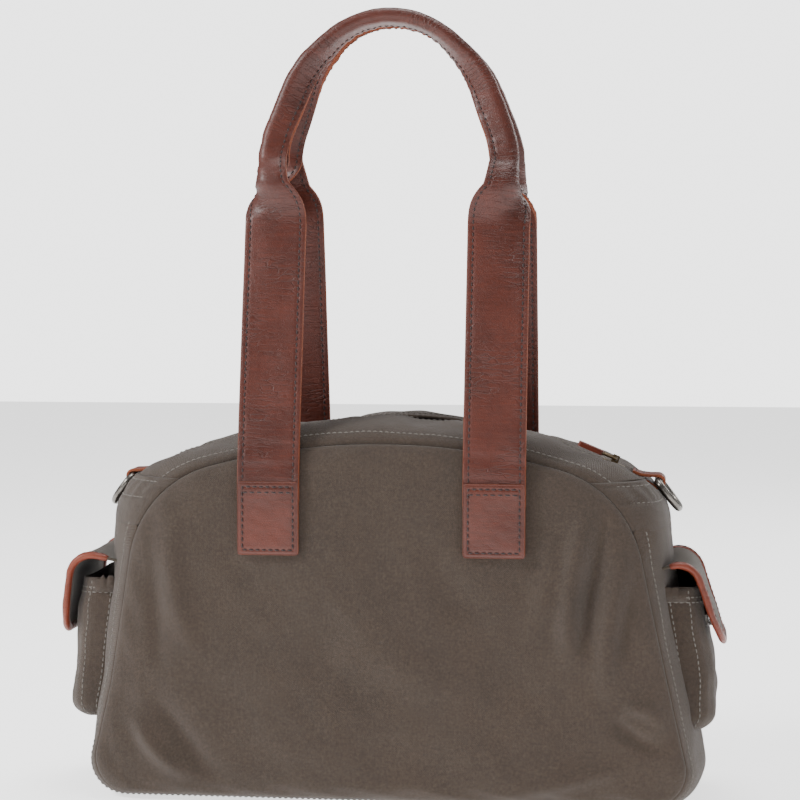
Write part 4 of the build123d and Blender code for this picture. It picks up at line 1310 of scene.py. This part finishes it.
@dataclass
class EndPocket:
    """One end's gusseted canvas pocket with its leather-bound flap."""

    finish: Workshop
    body: BagBody
    side: Side
    half_width: float = 43.0
    low: float = 49.0
    high: float = 138.0
    corner: float = 12.0
    foot_radius: float = 11.0
    flap_half_width: float = 45.5
    flap_corner: float = 22.0
    quarter_turn: float = 1.5708

    @property
    def name(self) -> str:
        """The side's name, as the CAD nodes start."""
        return self.side.label

    def place(self, x: Array, y: Array, z: Array) -> Array:
        """Points in metres from distances outwards, across and up in millimetres."""
        return np.stack(np.broadcast_arrays(self.side.value * x, y, z), -1) * MM

    def wall(self) -> tuple[Array, Array]:
        """The pocket's outer face and its heights: a wrap of cloth whose foot turns in to the gusset."""
        turn = np.linspace(0, math.pi / 2, 12)[1:]
        bend = self.foot_radius
        wall = np.linspace(self.high, self.low + bend, 52)
        heights = np.concatenate([wall, self.low + bend * (1 - np.sin(turn)), np.full(8, self.low)])
        inset = np.concatenate([np.zeros(52), bend * (1 - np.cos(turn)), np.linspace(13, 36, 8)])
        ends = self.body.end_rows(self.side, np.array([-self.half_width, self.half_width]), heights) / MM
        back = np.abs(ends[..., 0]).mean(0)[:, None] - 1.0
        face = 204.0 - 0.095 * (heights - self.low)[:, None] - inset[:, None]
        face = np.maximum(face, back + 0.4)
        wide = (self.half_width - 0.45 * inset)[:, None]
        radius = np.minimum(self.corner, face - back)
        arc = np.linspace(0, math.pi / 2, 14)[None]
        side = np.linspace(0, 1, 12, endpoint=False)[None]
        wing = back + side * (face - radius - back)
        near_x = np.concatenate([wing, face - radius + radius * np.sin(arc)], 1)
        near_y = np.concatenate([-wide + 0 * side, -wide + radius * (1 - np.cos(arc))], 1)
        middle = np.linspace(-1, 1, 44)[None, 1:-1]
        x = np.concatenate([near_x, face + 0 * middle, near_x[:, ::-1]], 1)
        y = np.concatenate([near_y, middle * (wide - radius), -near_y[:, ::-1]], 1)
        z = np.broadcast_to(heights[:, None], x.shape)
        out = ease(0.15, 0.8, (x - back) / (face - back))
        drop = ease(self.high, self.high - 30, z)
        across = y / self.half_width
        full = 5.4 if self.side is Side.RIGHT else 2.4
        belly = full * out * drop * np.exp(-(((z - 82) / 28) ** 2)) * (1 - 0.5 * across**2)
        pinch = -1.6 * out * np.exp(-(((z - 118) / 12) ** 2)) * np.cos(across * 4.2)
        at = np.stack([x, y, z], -1) * MM
        soft = out * drop * (0.9 * ripple(71 + self.side.value, at, 0.05, 2) + 0.3 * ripple(74, at, 0.018, 2))
        sag = 2.2 * out * (1 - ease(self.low, self.low + 40, z)) * np.cos(across * 1.4)
        crease = 0.5 * np.exp(-(((np.abs(y) - self.half_width + 5) / 1.6) ** 2)) * out
        x = x + belly + pinch + soft - crease
        z = z - sag - 1.6 * out * (1 - across**2) * (1 - drop)
        y = y + 0.8 * ripple(77, at, 0.06, 2) * out * drop
        return self.place(x, y, z), heights

    def build_pocket(self) -> None:
        """Make the pocket, its hem roll and its stitches."""
        grid, heights = self.wall()
        hem = [grid[:1] + self.place(np.array(dx), np.array(0.0), np.array(dz))
               for dx, dz in ((-2.3, -9.0), (-2.2, -0.6), (-1.4, 0.35), (-0.5, 0.3))]
        whole = np.concatenate([*hem, grid])
        left = self.side is Side.LEFT
        made = grid_object(f"{self.name}_pocket_cloth", whole, self.finish.canvas, flip=left)
        thicken(made, 1.3 * MM)
        settle(made, "bag", (f"{self.name}_pocket",))
        way = sheet_normals(grid, (slice(0, 40), 30), self.side.value)
        rows = [int(np.argmin(np.abs(heights - z))) for z in (self.high - 6.5, self.high - 9.5)]
        lines = [(f"hem_stitches_{number}", (row, slice(1, -1))) for number, row in enumerate(rows)]
        columns = enumerate((3, 15, -16, -4))
        lines += [(f"side_stitches_{number}", (slice(1, 60), column)) for number, column in columns]
        for label, where in lines:
            sewn = self.finish.grey_seam.sew(f"{self.name}_{label}", grid[where], way[where])
            settle(sewn, "bag")

    def build_flap(self) -> None:
        """Make the flap, its binding and the binding's stitches.

        The flap keeps its half width down to its two round lower corners, and the binding's middle lies 1.9
        millimetres inside its free edge.
        """
        corners = {
            Side.LEFT: [(171.0, 149.4), (200.6, 155.2), (206.2, 101.6)],
            Side.RIGHT: [(171.0, 149.4), (191.5, 154.5), (209.5, 101.6)],
        }[self.side]
        profile = rounded_path(corners, [14], 0.9)
        run = run_along(profile)
        wide, round_off = self.flap_half_width, self.flap_corner
        straight = np.linspace(run[-1], round_off, 60, endpoint=False)
        left = np.concatenate([straight, round_off * (1 - np.sin(np.linspace(0, self.quarter_turn, 26)))])
        at = run[-1] - left
        px, pz = np.interp(at, run, profile[:, 0]), np.interp(at, run, profile[:, 1])
        slope = unit(np.stack([np.gradient(px), np.gradient(pz)], -1))
        corner = np.clip(round_off - left, 0, round_off)
        half = wide - round_off + np.sqrt(np.clip(round_off**2 - corner**2, 0, None))
        v = np.linspace(-1, 1, 61)[None]
        y = half[:, None] * v
        bow = 1.7 * (1 - (y / wide) ** 2) * ease(20, 60, at)[:, None]
        flare = 0.9 * np.abs(y / wide) ** 4 * ease(40, 80, at)[:, None]
        spot = np.stack([px[:, None] + 0 * y, y, pz[:, None] + 0 * y], -1) * MM
        push = bow + flare + 0.6 * ripple(81 + self.side.value, spot, 0.05, 2) * ease(8, 30, at)[:, None]
        x = px[:, None] - slope[:, 1:] * push
        z = pz[:, None] + slope[:, :1] * push
        grid = self.place(x, y, z)
        name, body = self.name, f"{self.name}_flap"
        way = sheet_normals(grid, (slice(40, 60), 30), self.side.value)
        made = grid_object(f"{name}_flap_cloth", grid, self.finish.flap_canvas, flip=self.side is Side.LEFT)
        thicken(made, 1.8 * MM, 0.0)
        settle(made, body, (f"{name}_pocket_flap",))
        edge = np.concatenate([grid[6:, 0], grid[-1, 1:-1], grid[6:, -1][::-1]])
        edge_way = np.concatenate([way[6:, 0], way[-1, 1:-1], way[6:, -1][::-1]])
        path, where = resample(edge, 1.0 * MM)
        ways = unit(read_off(where, np.arange(len(edge)), edge_way))
        middle = grid[40:60, 30].mean(0)
        inward = np.cross(unit(np.gradient(path, axis=0)), ways)
        inward *= np.sign(((middle - path) * inward).sum(-1).mean())
        core = path + inward * 1.9 * MM
        end = np.sqrt(np.clip(1 - np.linspace(-1, 1, len(core)) ** 60, 0.02, 1))
        puff = 1 + 0.06 * ripple(85, core, 0.012, 2)
        sides = 18
        pipe = tube(core, ways, 3.1 * MM * end, 2.25 * MM * end * puff, sides)
        faces = grid_faces(*pipe.shape[:2], wrap_columns=True)
        bound = mesh_object(f"{name}_binding_leather", pipe, faces, self.finish.binding)
        lengths = np.broadcast_arrays(np.arange(sides)[None] * MM, np.arange(len(core))[:, None] * MM)
        set_uv(bound, np.stack(lengths, -1))
        set_edge(bound, np.broadcast_to((np.arange(sides)[None] == sides // 2) * 0.3, pipe.shape[:2]))
        settle(bound, body, (f"{name}_flap_binding",))
        row = core + inward * 1.5 * MM + ways * 1.75 * MM
        sewn = self.finish.brown_seam.sew(f"{name}_binding_stitches", row[4:-4], ways[4:-4])
        settle(sewn, body)

    def build_loop(self) -> None:
        """Leather loop that is folded round the ring's bar and sewn down on the shoulder."""
        centre, radius = np.array([169.0, 200.0]), 3.75
        turn = np.radians(np.linspace(92, -112, 32))
        arc = centre + radius * np.stack([np.cos(turn), np.sin(turn)], -1)
        tail = rounded_path([(153.0, 206.6), (158.4, 204.4), tuple(arc[0])], [9], 0.6)
        under = arc[-1] + np.linspace(0.1, 1, 12)[:, None] * (np.array([160.6, 200.8]) - arc[-1])
        line = np.concatenate([tail[:-1], arc, under])
        v = np.linspace(-9.5, 9.5, 27)
        grid = self.place(line[:, :1], v[None], line[:, 1:])
        dent = 0.12 * ripple(91, grid, 0.008, 2) * MM
        grid = grid + np.array([self.side.value * 0.5, 0, 0.86]) * dent[..., None]
        left = self.side is Side.LEFT
        made = grid_object(f"{self.name}_loop_leather", grid, self.finish.binding, flip=left)
        set_edge(made, np.broadcast_to((np.abs(v) > 9.4)[None] * 1.0, grid.shape[:2]))
        thicken(made, 1.9 * MM, 0.0)
        bevel = made.modifiers.new("soft_edge", "BEVEL")
        bevel.width, bevel.segments, bevel.limit_method = 0.35 * MM, 2, "ANGLE"
        settle(made, "bag", (f"{self.name}_ring_loop",))
        way = np.array([self.side.value * 0.4, 0, 0.92])
        for number, row in enumerate((3, 11)):
            path, _ = resample(grid[row, 2:-2] + way * 0.95 * MM, 0.5 * MM)
            ways = np.broadcast_to(way, path.shape)
            sewn = self.finish.brown_seam.sew(f"{self.name}_loop_stitches_{number}", path, ways)
            settle(sewn, "bag")

    def build(self) -> None:
        """Make the pocket, the flap and the ring's loop."""
        self.build_pocket()
        self.build_flap()
        self.build_loop()


@dataclass(frozen=True)
class Fittings:
    """The hard parts, which keep their CAD meshes and take a finish."""

    finish: Workshop

    def build(self) -> None:
        """Give each part its material."""
        f = self.finish
        snaps = [f"{side.label}_snap_{half}" for side in Side for half in ("socket", "stud")]
        chosen = (
            (f.nickel, ["left_d_ring", "right_d_ring", *snaps]),
            (f.zip_metal, ["zip_slider", "zip_pull_link", "zip_stops", "front_zip_teeth", "back_zip_teeth"]),
            (f.binding, ["zip_pull_tab"]),
            (f.board, ["base_board"]),
        )
        for material, names in chosen:
            for name in names:
                part = bpy.data.objects[name]
                part.data.materials.clear()
                part.data.materials.append(material)
                log.info("%s takes %s", name, material.name)


# ---- Studio ------------------------------------------------------------------------


@dataclass(frozen=True)
class Lamp:
    """A soft box: where it stands, its size and its power."""

    name: str
    at: tuple[float, float, float]
    size: float
    power: float

    def build(self, aim: Vector) -> None:
        """Add the lamp, turned to the aim."""
        data = bpy.data.lights.new(self.name, "AREA")
        data.energy, data.size = self.power, self.size
        made = bpy.data.objects.new(self.name, data)
        made.location = self.at
        made.rotation_mode = "QUATERNION"
        made.rotation_quaternion = (aim - Vector(self.at)).to_track_quat("-Z", "Y")
        bpy.context.scene.collection.objects.link(made)


@dataclass
class Studio:
    """Pale floor and surroundings, soft lamps and the camera."""

    azimuth: float = 7.0
    elevation: float = 3.4
    distance: float = 1.468
    lens: float = 103.0
    aim: tuple[float, float, float] = (0.004, 0.0, 0.250)
    ambient: float = 0.36
    backdrop: float = 3.1
    floor_reach: float = 4.0
    sensor: float = 36.0
    lamps: tuple[Lamp, ...] = (
        Lamp("key", (-1.5, -0.8, 1.3), 0.6, 44.0),
        Lamp("fill", (1.8, -0.9, 0.7), 1.2, 7.0),
        Lamp("top", (0.1, 0.2, 1.9), 0.9, 22.0),
        Lamp("rim", (1.1, 1.3, 1.1), 0.8, 12.0),
    )

    def build(self) -> None:
        """Make the floor, the lights, the world and the camera."""
        paper = Paper("studio_paper", (0.92, 0.92, 0.92, 1.0)).build()
        corners = np.array([[-1, -1, 0], [1, -1, 0], [1, 1, 0], [-1, 1, 0]]) * self.floor_reach
        floor = mesh_object("studio_floor", corners, np.array([[0, 1, 2, 3]]), paper)
        aim = Vector(self.aim)
        for lamp in self.lamps:
            lamp.build(aim)
        world = bpy.data.worlds.new("studio_world")
        world.use_nodes = True
        ground = world.node_tree.nodes["Background"]
        ground.inputs["Color"].default_value = (1.0, 1.0, 1.0, 1.0)
        seen = world.node_tree.nodes.new("ShaderNodeLightPath")
        level = world.node_tree.nodes.new("ShaderNodeMapRange")
        level.inputs["To Min"].default_value = self.ambient
        level.inputs["To Max"].default_value = self.backdrop
        world.node_tree.links.new(seen.outputs["Is Camera Ray"], level.inputs["Value"])
        world.node_tree.links.new(level.outputs["Result"], ground.inputs["Strength"])
        bpy.context.scene.world = world
        data = bpy.data.cameras.new("camera")
        data.lens, data.sensor_width = self.lens, self.sensor
        camera = bpy.data.objects.new("camera", data)
        turn, tilt = math.radians(self.azimuth), math.radians(self.elevation)
        back = Vector((math.sin(turn) * math.cos(tilt), -math.cos(turn) * math.cos(tilt), math.sin(tilt)))
        camera.location = aim + back * self.distance
        camera.rotation_mode = "QUATERNION"
        camera.rotation_quaternion = (-back).to_track_quat("-Z", "Y")
        bpy.context.scene.collection.objects.link(camera)
        bpy.context.scene.camera = camera


def main() -> None:
    """Build the finishes, the pieces and the studio."""
    finish = Workshop.stocked()
    body = BagBody(finish)
    body.build()
    for face in Face:
        Handle(finish, face).build()
    for side in Side:
        EndPocket(finish, body, side).build()
    Fittings(finish).build()
    Studio().build()


if __name__ == "__main__":
    main()
